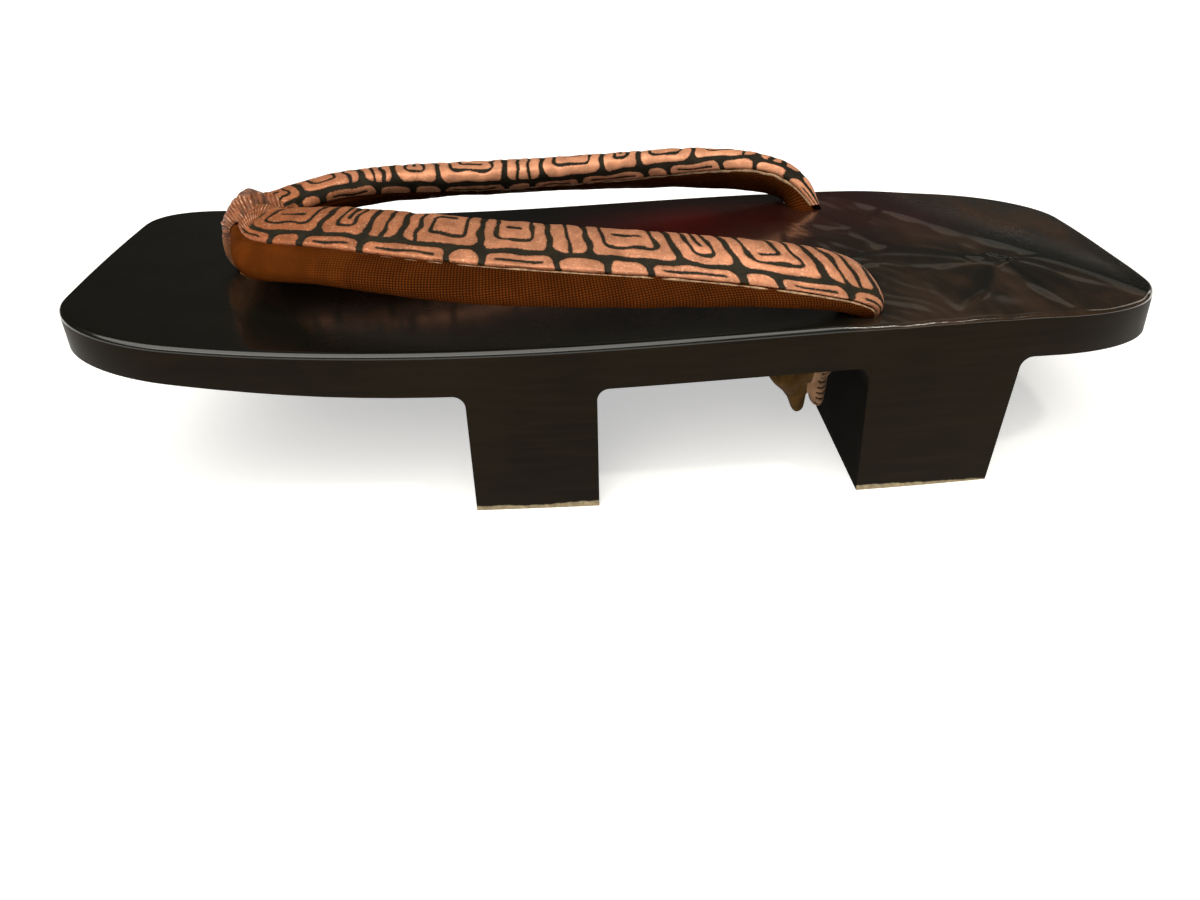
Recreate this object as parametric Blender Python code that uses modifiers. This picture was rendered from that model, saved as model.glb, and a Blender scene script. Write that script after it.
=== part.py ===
"""Geta sandal: a lacquered block with two teeth, and a padded strap held by a toe loop.

Lengths are in metres. The toe points to -X, the near side of the sandal is -Y and +Z is up.
The origin is on the floor, under the middle of the block.
"""
import math
from collections import namedtuple

import bmesh
import bpy
import numpy as np

# Block
LENGTH = 0.235
WIDTH = 0.0927
DECK_HEIGHT = 0.0374
TOE_SPRING = 0.0070
DECK_THICKNESS = 0.0097
TOE_BULGE = 0.0013
HEEL_BULGE = 0.0033
TOE_CORNER = 0.0260
HEEL_CORNER = 0.0274
END_ROUND = 0.0030
EDGE_ROUND = 0.0011

# Teeth, measured from the toe end
FRONT_TOOTH_AT = 0.0848
FRONT_TOOTH_FOOT = 0.0264
FRONT_TOOTH_ROOT = 0.0268
REAR_TOOTH_AT = 0.1672
REAR_TOOTH_FOOT = 0.0290
REAR_TOOTH_ROOT = 0.0321
TOOTH_FILLET = 0.0026

# Strap, measured from the toe end and above the deck
STRAP_FRONT = 0.0300
STRAP_REACH = 0.1395
STRAP_SPREAD = 0.0440
STRAP_RISE = 0.0180
STRAP_THICKNESS = 0.0092
STRAP_SKEW = 0.0012
COVER_WALL = 0.0012
LAYER_GAP = 0.00035
STRAP_FULLNESS = 2.3

# Strap ends in the rear holes, which come out just ahead of the rear tooth
NECK_RADIUS = 0.0037
NECK_SETBACK = 0.0062
NECK_INSET = 0.0012
NECK_ROOM_SHARE = 1.6
HOLE_CLEARANCE = 0.0004

# Toe loop and its hole
LOOP_AT = 0.0360
LOOP_LENGTH = 0.0118
LOOP_WIDTH = 0.0160
LOOP_RISE = 0.0185
STEM_AT = 0.0340
STEM_RADIUS = 0.0038

# Knots under the deck
SEAT_GAP = 0.0003
KNOT_WIDTH = 0.0146
KNOT_HEIGHT = 0.0086
KNOT_LEAN = 0.0027
TAIL_LENGTH = 0.0172
TAIL_RADIUS = 0.0026

# Shares of the half length from the middle, with shares of the sizes that follow them
BlockRow = namedtuple("BlockRow", "along half_width rise thickness")
BLOCK = (
    BlockRow(-1.00, 0.900, 1.00, 0.83),
    BlockRow(-0.75, 0.941, 0.39, 0.88),
    BlockRow(-0.50, 0.973, 0.08, 0.98),
    BlockRow(-0.25, 0.993, 0.00, 1.00),
    BlockRow(0.00, 1.000, 0.07, 0.99),
    BlockRow(0.25, 0.989, 0.19, 0.99),
    BlockRow(0.50, 0.963, 0.27, 1.00),
    BlockRow(0.75, 0.912, 0.22, 1.01),
    BlockRow(1.00, 0.838, -0.05, 0.95),
)
TOE_END_SHARE = 0.58
HEEL_END_SHARE = 0.60
CORNER_HANDLE = 0.6

# One arm of the strap from the fold at the toe (0) to the rear hole (1): the outer and inner edge
# as shares of reach, spread and rise, the thickness as a share, and the cover's edges in degrees
StrapRow = namedtuple(
    "StrapRow",
    "along outer_x outer_y outer_z inner_x inner_y inner_z thickness cover_outer cover_inner",
)
STRAP = (
    StrapRow(0.00, 0.011, 0.000, 0.58, 0.065, 0.000, 0.74, 0.94, 73, 198),
    StrapRow(0.05, 0.019, 0.140, 0.52, 0.081, 0.044, 0.79, 0.96, 72, 201),
    StrapRow(0.12, 0.037, 0.385, 0.44, 0.108, 0.107, 0.84, 0.98, 70, 204),
    StrapRow(0.28, 0.152, 0.664, 0.53, 0.210, 0.259, 1.00, 0.90, 67, 222),
    StrapRow(0.46, 0.395, 0.932, 0.52, 0.408, 0.411, 0.96, 0.86, 66, 239),
    StrapRow(0.64, 0.682, 0.998, 0.38, 0.647, 0.623, 0.88, 0.86, 60, 240),
    StrapRow(0.80, 0.900, 0.975, 0.19, 0.842, 0.764, 0.78, 0.87, 44, 226),
    StrapRow(0.92, 0.995, 0.923, -0.03, 0.963, 0.725, 0.41, 0.86, 16, 188),
    StrapRow(1.00, 0.974, 0.845, -0.23, 1.014, 0.640, -0.15, 0.85, -4, 165),
)
ARM_STATIONS = 23
COVER_END_SHARE = 0.975
RECESS_STEP_SHARE = 0.004
SLOPE_STEP_SHARE = 0.0001
ARC_STEPS = 12

# Toe loop from the deck up: shares of rise, of the half length and of the half width, and how far
# the middle has moved from the stem towards the loop
LoopRow = namedtuple("LoopRow", "up half_length half_width shift")
LOOP = (
    LoopRow(0.05, 0.63, 0.46, 0.00),
    LoopRow(0.13, 0.74, 0.48, -0.35),
    LoopRow(0.24, 0.90, 0.52, -0.35),
    LoopRow(0.38, 1.00, 0.58, -0.10),
    LoopRow(0.52, 1.04, 0.68, 0.15),
    LoopRow(0.66, 1.00, 0.84, 0.43),
    LoopRow(0.80, 0.82, 0.96, 0.68),
    LoopRow(0.91, 0.58, 0.78, 0.76),
    LoopRow(1.00, 0.27, 0.38, 0.83),
)
LOOP_SIDES = 24

# Tails of a rear knot: where each starts and ends along the knot's width, and its share of length
TailRow = namedtuple("TailRow", "top foot length")
TAILS = (TailRow(-0.33, -0.11, 1.0), TailRow(0.17, 0.25, 0.92))

COLOURS = {
    "platform": ((0.020, 0.017, 0.014, 1.0), 0.28),
    "strap_face": ((0.50, 0.27, 0.16, 1.0), 0.55),
    "strap_lining": ((0.13, 0.045, 0.012, 1.0), 0.85),
    "toe_loop": ((0.25, 0.11, 0.05, 1.0), 0.75),
    "toe_knot": ((0.20, 0.09, 0.04, 1.0), 0.80),
    "strap_knot_near": ((0.16, 0.09, 0.03, 1.0), 0.80),
    "strap_knot_far": ((0.16, 0.09, 0.03, 1.0), 0.80),
}


def spline(knots, values, at):
    """Natural cubic spline through the values."""
    knots = np.asarray(knots, float)
    values = np.asarray(values, float)
    at = np.asarray(at, float)
    step = np.diff(knots)
    slope = np.diff(values) / step
    size = len(knots)
    matrix = np.eye(size)
    right = np.zeros(size)
    for i in range(1, size - 1):
        matrix[i, i - 1:i + 2] = step[i - 1], 2 * (step[i - 1] + step[i]), step[i]
        right[i] = 6 * (slope[i] - slope[i - 1])
    bend = np.linalg.solve(matrix, right)
    i = np.clip(np.searchsorted(knots, at) - 1, 0, size - 2)
    left = at - knots[i]
    first = slope[i] - step[i] * (2 * bend[i] + bend[i + 1]) / 6
    third = (bend[i + 1] - bend[i]) / (6 * step[i])
    return values[i] + left * (first + left * (bend[i] / 2 + left * third))


def column(rows, name):
    return [getattr(row, name) for row in rows]


def block_value(name, x):
    """A column of the block's table at x, measured from the toe end."""
    half = LENGTH / 2
    return spline(column(BLOCK, "along"), column(BLOCK, name), (np.asarray(x) - half) / half)


def deck_top(x):
    return DECK_HEIGHT + TOE_SPRING * block_value("rise", x)


def deck_under(x):
    return deck_top(x) - DECK_THICKNESS * block_value("thickness", x)


def half_width(x):
    return WIDTH / 2 * block_value("half_width", x)


def from_toe(x):
    """Turns a distance from the toe end into the model's x."""
    return x - LENGTH / 2


def corner_curve(start, toward, end, steps):
    """Points of a cubic curve from start to end that leans to the corner point between them."""
    start, toward, end = (np.asarray(p, float) for p in (start, toward, end))
    first = start + (toward - start) * CORNER_HANDLE
    second = end + (toward - end) * CORNER_HANDLE
    points = []
    for t in np.linspace(0, 1, steps + 1):
        s = 1 - t
        points.append(s ** 3 * start + 3 * s * s * t * first + 3 * s * t * t * second + t ** 3 * end)
    return points


def plan_outline():
    """The block seen from above, counter-clockwise from the toe's near side."""
    near = []
    toe_wide = half_width(0.0)
    heel_wide = half_width(LENGTH)
    for share in (0.0, 0.5 * TOE_END_SHARE):
        near.append((TOE_BULGE * share ** 2, -share * toe_wide))
    toe_end = (TOE_BULGE * TOE_END_SHARE ** 2, -TOE_END_SHARE * toe_wide)
    toe_side = (TOE_CORNER, -half_width(TOE_CORNER))
    near += list(map(tuple, corner_curve(toe_end, (TOE_BULGE, -toe_wide), toe_side, 10)))
    for x in np.linspace(TOE_CORNER, LENGTH - HEEL_CORNER, 16)[1:-1]:
        near.append((x, -half_width(x)))
    heel_side = (LENGTH - HEEL_CORNER, -half_width(LENGTH - HEEL_CORNER))
    heel_end = (LENGTH - HEEL_BULGE * HEEL_END_SHARE ** 2, -HEEL_END_SHARE * heel_wide)
    near += list(map(tuple, corner_curve(heel_side, (LENGTH - HEEL_BULGE, -heel_wide), heel_end, 10)))
    for share in (0.5 * HEEL_END_SHARE, 0.0):
        near.append((LENGTH - HEEL_BULGE * share ** 2, -share * heel_wide))
    far = [(x, -y) for x, y in near[1:-1]][::-1]
    return [(from_toe(x), y) for x, y in near + far]


def arc_corner(before, corner, after, radius, steps):
    """Rounds a corner of a flat outline with an arc."""
    before, corner, after = (np.asarray(p, float) for p in (before, corner, after))
    one = (before - corner) / np.linalg.norm(before - corner)
    two = (after - corner) / np.linalg.norm(after - corner)
    half = math.acos(max(-1.0, min(1.0, float(one @ two)))) / 2
    reach = radius / math.tan(half)
    middle = corner + (one + two) / np.linalg.norm(one + two) * radius / math.sin(half)
    start = corner + one * reach - middle
    end = corner + two * reach - middle
    turn = math.atan2(start[0] * end[1] - start[1] * end[0], float(start @ end))
    points = []
    for t in np.linspace(0, turn, steps + 1):
        c, s = math.cos(t), math.sin(t)
        points.append(middle + np.array([c * start[0] - s * start[1], s * start[0] + c * start[1]]))
    return points


def side_profile():
    """The block seen from the side, as (x, z) points with rounded corners."""
    top = [(x, float(deck_top(x)), 0) for x in np.linspace(0, LENGTH, 25)]
    under = lambda x: float(deck_under(x))
    rear_root = REAR_TOOTH_AT + REAR_TOOTH_ROOT
    front_root = FRONT_TOOTH_AT + FRONT_TOOTH_ROOT
    bottom = [(LENGTH, under(LENGTH), END_ROUND)]
    bottom += [(x, under(x), 0) for x in np.linspace(LENGTH, rear_root, 5)[1:-1]]
    bottom += [
        (rear_root, under(rear_root), TOOTH_FILLET),
        (REAR_TOOTH_AT + REAR_TOOTH_FOOT, 0, 0),
        (REAR_TOOTH_AT, 0, 0),
        (REAR_TOOTH_AT, under(REAR_TOOTH_AT), TOOTH_FILLET),
    ]
    bottom += [(x, under(x), 0) for x in np.linspace(REAR_TOOTH_AT, front_root, 7)[1:-1]]
    bottom += [
        (front_root, under(front_root), TOOTH_FILLET),
        (FRONT_TOOTH_AT + FRONT_TOOTH_FOOT, 0, 0),
        (FRONT_TOOTH_AT, 0, 0),
        (FRONT_TOOTH_AT, under(FRONT_TOOTH_AT), TOOTH_FILLET),
    ]
    bottom += [(x, under(x), 0) for x in np.linspace(FRONT_TOOTH_AT, 0, 9)[1:-1]]
    bottom += [(0, under(0), END_ROUND)]
    corners = top + bottom
    points = []
    for i, (x, z, radius) in enumerate(corners):
        if radius == 0:
            points.append((x, z))
            continue
        before = corners[i - 1][:2]
        after = corners[(i + 1) % len(corners)][:2]
        points += [tuple(p) for p in arc_corner(before, (x, z), after, radius, 5)]
    return [(from_toe(x), z) for x, z in points]


def new_object(name, mesh, collection):
    thing = bpy.data.objects.new(name, mesh)
    collection.objects.link(thing)
    return thing


def prism(name, outline, to_3d, depth, collection):
    """Extrudes a flat outline by depth."""
    mesh = bpy.data.meshes.new(name)
    bm = bmesh.new()
    face = bm.faces.new([bm.verts.new(to_3d(a, b)) for a, b in outline])
    made = bmesh.ops.extrude_face_region(bm, geom=[face])
    moved = [v for v in made["geom"] if isinstance(v, bmesh.types.BMVert)]
    bmesh.ops.translate(bm, verts=moved, vec=depth)
    bmesh.ops.recalc_face_normals(bm, faces=bm.faces)
    bm.to_mesh(mesh)
    bm.free()
    return new_object(name, mesh, collection)


def loft(name, rings, collection):
    """A closed solid through rings of equally many points."""
    mesh = bpy.data.meshes.new(name)
    bm = bmesh.new()
    rows = [[bm.verts.new(tuple(p)) for p in ring] for ring in rings]
    count = len(rows[0])
    for one, two in zip(rows, rows[1:]):
        for i in range(count):
            j = (i + 1) % count
            bm.faces.new((one[i], one[j], two[j], two[i]))
    bm.faces.new(rows[0])
    bm.faces.new(rows[-1])
    bmesh.ops.recalc_face_normals(bm, faces=bm.faces)
    bm.to_mesh(mesh)
    bm.free()
    mesh.shade_smooth()
    mesh.set_sharp_from_angle(angle=math.radians(40))
    return new_object(name, mesh, collection)


def boolean(thing, cutter, operation):
    step = thing.modifiers.new(operation.title(), "BOOLEAN")
    step.operation = operation
    step.object = cutter
    step.solver = "EXACT"


def as_cutter(thing):
    thing.hide_render = True
    thing.display_type = "WIRE"
    return thing


def arm_columns(along):
    """The strap's table at shares from -1 (near hole) over 0 (toe fold) to 1 (far hole)."""
    far = column(STRAP, "along")
    knots = [-k for k in far[:0:-1]] + far
    values = {}
    for name in STRAP[0]._fields[1:]:
        one = column(STRAP, name)
        sign = -1 if name.endswith("_y") else 1
        values[name] = spline(knots, [sign * v for v in one[:0:-1]] + one, along)
    return values


def strap_frame(along):
    """Middle, half width, half thickness and directions of the strap's section at each share."""
    def edges(at):
        table = arm_columns(at)
        skew = np.sign(at) * STRAP_SKEW * at ** 2
        lines = []
        for side in ("outer", "inner"):
            x = STRAP_FRONT + STRAP_REACH * table[side + "_x"] + skew
            y = STRAP_SPREAD * table[side + "_y"]
            z = deck_top(x) + STRAP_RISE * table[side + "_z"]
            lines.append(np.stack([from_toe(x), y, z], axis=1))
        return lines[0], lines[1], table

    outer, inner, table = edges(along)
    ahead = sum(edges(np.minimum(along + SLOPE_STEP_SHARE, 1.0))[:2])
    behind = sum(edges(np.maximum(along - SLOPE_STEP_SHARE, -1.0))[:2])
    run = ahead - behind
    run /= np.linalg.norm(run, axis=1)[:, None]
    across = (outer - inner) / 2
    half = np.linalg.norm(across, axis=1)
    across /= half[:, None]
    up = np.cross(run, across)
    up /= np.linalg.norm(up, axis=1)[:, None]
    thick = STRAP_THICKNESS / 2 * table["thickness"]
    return (outer + inner) / 2, across, up, half, thick, table


def strap_point(frame, i, angle, inset):
    """A point of the section at station i, at an angle from the outer edge over the top."""
    middle, across, up, half, thick, _ = frame
    power = 2 / STRAP_FULLNESS
    c, s = math.cos(angle), math.sin(angle)
    wide = (half[i] - inset) * math.copysign(abs(c) ** power, c)
    high = (thick[i] - inset) * math.copysign(abs(s) ** power, s)
    return middle[i] + wide * across[i] + high * up[i]


def edge_step(frame, i, angle):
    """The angle that moves a point of the section by the gap between two layers."""
    half, thick = frame[3][i], frame[4][i]
    return LAYER_GAP / math.hypot(half * math.sin(angle), thick * math.cos(angle))


def stations():
    """Shares along the strap where it has a section, closer together where it dives into its holes."""
    even = np.linspace(-1, 1, 2 * ARM_STATIONS - 1)
    return COVER_END_SHARE * (1.3 * even - 0.3 * even ** 3)


def cover_rings():
    along = stations()
    frame = strap_frame(along)
    rings = []
    for i in range(len(along)):
        start = math.radians(frame[5]["cover_outer"][i])
        end = math.radians(frame[5]["cover_inner"][i])
        angles = np.linspace(start, end, ARC_STEPS + 1)
        ring = [strap_point(frame, i, a, 0) for a in angles]
        ring += [strap_point(frame, i, a, COVER_WALL) for a in angles[::-1]]
        rings.append(ring)
    return rings


def neck_end(side):
    """Where the neck of a strap end comes out under the deck."""
    y = strap_frame(np.array([float(side)]))[0][0][1] - side * NECK_INSET
    x = REAR_TOOTH_AT - NECK_SETBACK
    return np.array([from_toe(x), y, float(deck_under(x))])


def neck_rings(side, extra, count):
    """Rings that take a strap end from its last section down its sloping hole."""
    frame = strap_frame(np.array([float(side)]))
    middle, across, up = frame[0][0], frame[1][0], frame[2][0]
    end = neck_end(side)
    radius = NECK_RADIUS + NECK_ROOM_SHARE * extra
    rings = []
    for share in (0.5, 1.0, 1.3) if extra else (0.5, 1.0):
        centre = middle + (end - middle) * share
        turned = min(share, 1.0)
        sideways = across * (1 - turned) + np.array([0.0, float(side), 0.0]) * turned
        forward = up * (1 - turned) + np.array([1.0, 0.0, 0.0]) * turned
        sideways /= np.linalg.norm(sideways)
        forward /= np.linalg.norm(forward)
        ring = []
        for angle in ring_angles(frame, 0, count):
            ring.append(centre + radius * (math.cos(angle) * sideways + math.sin(angle) * forward))
        rings.append(ring)
    return rings


def ring_angles(frame, i, count):
    """Angles once round the section, first over the bare part and then under the cover."""
    start = math.radians(frame[5]["cover_outer"][i])
    end = math.radians(frame[5]["cover_inner"][i])
    start -= edge_step(frame, i, start)
    end += edge_step(frame, i, end)
    bare = list(np.linspace(end, start + 2 * math.pi, count + 1))
    covered = list(np.linspace(start + 2 * math.pi, end + 2 * math.pi, count + 1))
    return bare + [a - 2 * math.pi for a in covered]


def body_rings(recessed, extra):
    """Rings of the whole strap, with a recess for the cover or swollen by extra."""
    start = -COVER_END_SHARE - RECESS_STEP_SHARE
    outside = [-1.0, start - RECESS_STEP_SHARE, start]
    along = np.array(outside + list(stations()) + [-a for a in outside[::-1]])
    frame = strap_frame(along)
    depth = COVER_WALL + LAYER_GAP
    rings = []
    for i in range(len(along)):
        angles = ring_angles(frame, i, ARC_STEPS)
        sunk = recessed and 2 <= i < len(along) - 2
        ring = []
        for k, angle in enumerate(angles):
            inset = depth if sunk and k > ARC_STEPS else -extra
            ring.append(strap_point(frame, i, angle, inset))
        rings.append(ring)
    return neck_rings(-1, extra, ARC_STEPS)[::-1] + rings + neck_rings(1, extra, ARC_STEPS)


def make_platform(parts, cutters):
    tall = DECK_HEIGHT + TOE_SPRING * 2
    side = WIDTH
    block = prism("platform", side_profile(), lambda x, z: (x, -side, z), (0, 2 * side, 0), parts)
    plan = as_cutter(prism("plan", plan_outline(), lambda x, y: (x, y, -tall), (0, 0, 3 * tall), cutters))
    boolean(block, plan, "INTERSECT")
    rounding = block.modifiers.new("Edge", "BEVEL")
    rounding.width = EDGE_ROUND
    rounding.segments = 2
    rounding.limit_method = "ANGLE"
    rounding.angle_limit = math.radians(50)
    return block


def make_holes(block, cutters):
    swollen = as_cutter(loft("strap_room", body_rings(False, HOLE_CLEARANCE), cutters))
    boolean(block, swollen, "DIFFERENCE")
    bpy.ops.mesh.primitive_cylinder_add(
        vertices=28,
        radius=STEM_RADIUS + HOLE_CLEARANCE,
        depth=4 * DECK_THICKNESS,
        location=(from_toe(STEM_AT), 0, float(deck_under(STEM_AT))),
    )
    bore = as_cutter(bpy.context.object)
    bore.name = "stem_room"
    for owner in list(bore.users_collection):
        owner.objects.unlink(bore)
    cutters.objects.link(bore)
    boolean(block, bore, "DIFFERENCE")
    return swollen


def loop_rings():
    """Level rings of the toe loop's outer form, from the stem's foot to the top."""
    deck = float(deck_top(LOOP_AT))
    rows = [(float(deck_under(STEM_AT)), STEM_AT, STEM_RADIUS, STEM_RADIUS)]
    for row in LOOP:
        middle = STEM_AT + (LOOP_AT - STEM_AT) * row.shift
        rows.append((
            deck + LOOP_RISE * row.up,
            middle,
            LOOP_LENGTH / 2 * row.half_length,
            LOOP_WIDTH / 2 * row.half_width,
        ))
    rings = []
    for z, middle, half_length, half_wide in rows:
        ring = []
        for k in range(LOOP_SIDES):
            angle = 2 * math.pi * k / LOOP_SIDES
            ring.append((from_toe(middle) + half_length * math.cos(angle), half_wide * math.sin(angle), z))
        rings.append(ring)
    return rings


def make_toe_loop(parts, room):
    loop = loft("toe_loop", loop_rings(), parts)
    boolean(loop, room, "DIFFERENCE")
    return loop


def knot_mesh(name, centre, height, collection):
    """A tied lump, flat where it is drawn up against the wood."""
    mesh = bpy.data.meshes.new(name)
    bm = bmesh.new()
    bmesh.ops.create_uvsphere(bm, u_segments=16, v_segments=10, radius=0.5)
    bmesh.ops.scale(bm, verts=bm.verts, vec=(KNOT_WIDTH, KNOT_WIDTH * 0.9, height * 1.25))
    cut = bmesh.ops.bisect_plane(
        bm,
        geom=bm.verts[:] + bm.edges[:] + bm.faces[:],
        plane_co=(0, 0, height * 0.375),
        plane_no=(0, 0, 1),
        clear_outer=True,
    )
    rim = [e for e in cut["geom_cut"] if isinstance(e, bmesh.types.BMEdge)]
    bmesh.ops.edgenet_fill(bm, edges=rim)
    bmesh.ops.translate(bm, verts=bm.verts, vec=(centre[0], centre[1], centre[2] - height * 0.375))
    bmesh.ops.recalc_face_normals(bm, faces=bm.faces)
    bm.to_mesh(mesh)
    bm.free()
    return new_object(name, mesh, collection)


def tail_rings(top, foot, radius):
    """A tail with a round tip from top to foot."""
    top, foot = np.asarray(top, float), np.asarray(foot, float)
    run = foot - top
    length = np.linalg.norm(run)
    run /= length
    side = np.cross(run, (0.0, 1.0, 0.0))
    side /= np.linalg.norm(side)
    front = np.cross(run, side)
    stations = [(0.0, 1.15), (0.35, 1.0), (0.7, 0.92)]
    stations += [(1 - radius / length * (1 - math.sin(a)), 0.92 * math.cos(a)) for a in (0.3, 0.75, 1.15, 1.42)]
    rings = []
    for share, wide in stations:
        centre = top + run * length * share
        angles = [2 * math.pi * k / 12 for k in range(12)]
        rings.append([centre + radius * wide * (side * math.cos(a) + front * math.sin(a)) for a in angles])
    return rings


def make_strap_knot(name, side, parts, cutters):
    """The knot under a rear hole with its two tails."""
    end = neck_end(side)
    middle = end[0] - KNOT_LEAN
    seat = float(deck_under(middle - KNOT_WIDTH / 2 + LENGTH / 2)) - SEAT_GAP
    seat = min(seat, end[2] - SEAT_GAP)
    lump = knot_mesh(name, (middle, end[1], seat), KNOT_HEIGHT, parts)
    start = seat - KNOT_HEIGHT * 0.5
    for k, row in enumerate(TAILS):
        rings = tail_rings(
            (middle + KNOT_WIDTH * row.top, end[1], start),
            (middle + KNOT_WIDTH * row.foot, end[1], seat - TAIL_LENGTH * row.length),
            TAIL_RADIUS,
        )
        tail = as_cutter(loft(f"{name}_tail_{k}", rings, cutters))
        boolean(lump, tail, "UNION")
    return lump


def make_toe_knot(parts):
    seat = float(deck_under(STEM_AT + KNOT_WIDTH / 2)) - SEAT_GAP
    return knot_mesh("toe_knot", (from_toe(STEM_AT), 0, seat), KNOT_HEIGHT, parts)


def give_material(thing):
    colour, roughness = COLOURS[thing.name]
    material = bpy.data.materials.new(thing.name)
    material.use_nodes = True
    shader = material.node_tree.nodes["Principled BSDF"]
    shader.inputs["Base Color"].default_value = colour
    shader.inputs["Roughness"].default_value = roughness
    shader.inputs["Metallic"].default_value = 0.0
    thing.data.materials.append(material)


def main():
    for thing in list(bpy.data.objects):
        bpy.data.objects.remove(thing, do_unlink=True)
    parts = bpy.data.collections.new("geta_sandal")
    cutters = bpy.data.collections.new("cutters")
    for collection in (parts, cutters):
        bpy.context.scene.collection.children.link(collection)
    block = make_platform(parts, cutters)
    room = make_holes(block, cutters)
    loft("strap_face", cover_rings(), parts)
    loft("strap_lining", body_rings(True, 0), parts)
    make_toe_loop(parts, room)
    make_toe_knot(parts)
    make_strap_knot("strap_knot_near", -1, parts, cutters)
    make_strap_knot("strap_knot_far", 1, parts, cutters)
    for thing in parts.objects:
        give_material(thing)


main()
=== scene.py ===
"""Geta sandal: the looks of its lacquered block, padded strap, toe loop and knots.

Lengths are in metres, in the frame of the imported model. The toe points to -X, the near side is -Y
and +Z is up. Stretches along the block are measured from the toe end.
"""

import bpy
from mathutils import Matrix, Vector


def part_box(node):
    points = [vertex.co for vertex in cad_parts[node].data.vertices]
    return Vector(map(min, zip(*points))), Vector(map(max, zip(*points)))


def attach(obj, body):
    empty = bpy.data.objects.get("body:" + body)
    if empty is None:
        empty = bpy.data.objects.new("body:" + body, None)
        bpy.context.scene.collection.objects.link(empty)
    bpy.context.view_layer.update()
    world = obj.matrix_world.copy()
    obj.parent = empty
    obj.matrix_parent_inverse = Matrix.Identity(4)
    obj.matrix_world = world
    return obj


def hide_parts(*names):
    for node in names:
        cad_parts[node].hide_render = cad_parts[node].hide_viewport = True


bl_info = {
    "name": "Geta Sandal",
    "version": (1, 0, 0),
    "blender": (4, 5, 0),
    "location": "View3D > Sidebar > Geta",
    "description": "Lacquered block with a carved heel, padded strap, toe loop and knots",
    "category": "Add Mesh",
}

import math
from collections import namedtuple

import bmesh
import bpy
import numpy as np
from bpy.props import FloatProperty, FloatVectorProperty, IntProperty, PointerProperty
from bpy.types import Operator, Panel, PropertyGroup
from mathutils import Matrix, Vector

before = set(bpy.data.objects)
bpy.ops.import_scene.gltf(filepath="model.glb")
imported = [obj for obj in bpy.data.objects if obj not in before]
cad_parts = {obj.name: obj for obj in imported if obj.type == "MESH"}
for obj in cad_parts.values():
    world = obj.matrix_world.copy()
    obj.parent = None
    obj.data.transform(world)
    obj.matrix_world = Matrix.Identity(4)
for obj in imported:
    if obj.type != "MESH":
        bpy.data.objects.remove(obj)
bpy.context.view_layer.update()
BLOCK_LOW, BLOCK_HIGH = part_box("platform")
MM = 0.001

# Block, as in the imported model
LENGTH = BLOCK_HIGH.x - BLOCK_LOW.x
WIDTH = BLOCK_HIGH.y - BLOCK_LOW.y
DECK_HEIGHT = 0.0374
TOE_SPRING = 0.0070
DECK_THICKNESS = 0.0097
TOE_BULGE = 0.0013
HEEL_BULGE = 0.0033
TOE_CORNER = 0.0260
HEEL_CORNER = 0.0274
END_ROUND = 0.0030
FRONT_TOOTH_AT = 0.0848
FRONT_TOOTH_FOOT = 0.0264
FRONT_TOOTH_ROOT = 0.0268
REAR_TOOTH_AT = 0.1672
REAR_TOOTH_FOOT = 0.0290
REAR_TOOTH_ROOT = 0.0321
TOOTH_FILLET = 0.0026
BlockRow = namedtuple("BlockRow", "along half_width rise thickness")
BLOCK = (
    BlockRow(-1.00, 0.900, 1.00, 0.83),
    BlockRow(-0.75, 0.941, 0.39, 0.88),
    BlockRow(-0.50, 0.973, 0.08, 0.98),
    BlockRow(-0.25, 0.993, 0.00, 1.00),
    BlockRow(0.00, 1.000, 0.07, 0.99),
    BlockRow(0.25, 0.989, 0.19, 0.99),
    BlockRow(0.50, 0.963, 0.27, 1.00),
    BlockRow(0.75, 0.912, 0.22, 1.01),
    BlockRow(1.00, 0.838, -0.05, 0.95),
)
TOE_END_SHARE = 0.58
HEEL_END_SHARE = 0.60
CORNER_HANDLE = 0.6
SHOULDER = 0.0010
SPINE_INSET = 0.009

# Strap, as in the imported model
STRAP_FRONT = 0.0300
STRAP_REACH = 0.1395
STRAP_SPREAD = 0.0440
STRAP_RISE = 0.0180
STRAP_THICKNESS = 0.0092
STRAP_SKEW = 0.0012
COVER_WALL = 0.0012
LAYER_GAP = 0.00035
STRAP_FULLNESS = 2.3
NECK_RADIUS = 0.0037
NECK_SETBACK = 0.0062
NECK_INSET = 0.0012
NECK_ROOM_SHARE = 1.6
HOLE_CLEARANCE = 0.0004
StrapRow = namedtuple(
    "StrapRow",
    "along outer_x outer_y outer_z inner_x inner_y inner_z thickness cover_outer cover_inner",
)
STRAP = (
    StrapRow(0.00, 0.011, 0.000, 0.58, 0.065, 0.000, 0.74, 0.94, 73, 198),
    StrapRow(0.05, 0.019, 0.140, 0.52, 0.081, 0.044, 0.79, 0.96, 72, 201),
    StrapRow(0.12, 0.037, 0.385, 0.44, 0.108, 0.107, 0.84, 0.98, 70, 204),
    StrapRow(0.28, 0.152, 0.664, 0.53, 0.210, 0.259, 1.00, 0.90, 67, 222),
    StrapRow(0.46, 0.395, 0.932, 0.52, 0.408, 0.411, 0.96, 0.86, 66, 239),
    StrapRow(0.64, 0.682, 0.998, 0.38, 0.647, 0.623, 0.88, 0.86, 60, 240),
    StrapRow(0.80, 0.900, 0.975, 0.19, 0.842, 0.764, 0.78, 0.87, 44, 226),
    StrapRow(0.92, 0.995, 0.923, -0.03, 0.963, 0.725, 0.41, 0.86, 16, 188),
    StrapRow(1.00, 0.974, 0.845, -0.23, 1.014, 0.640, -0.15, 0.85, -4, 165),
)
COVER_END = 0.975

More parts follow.
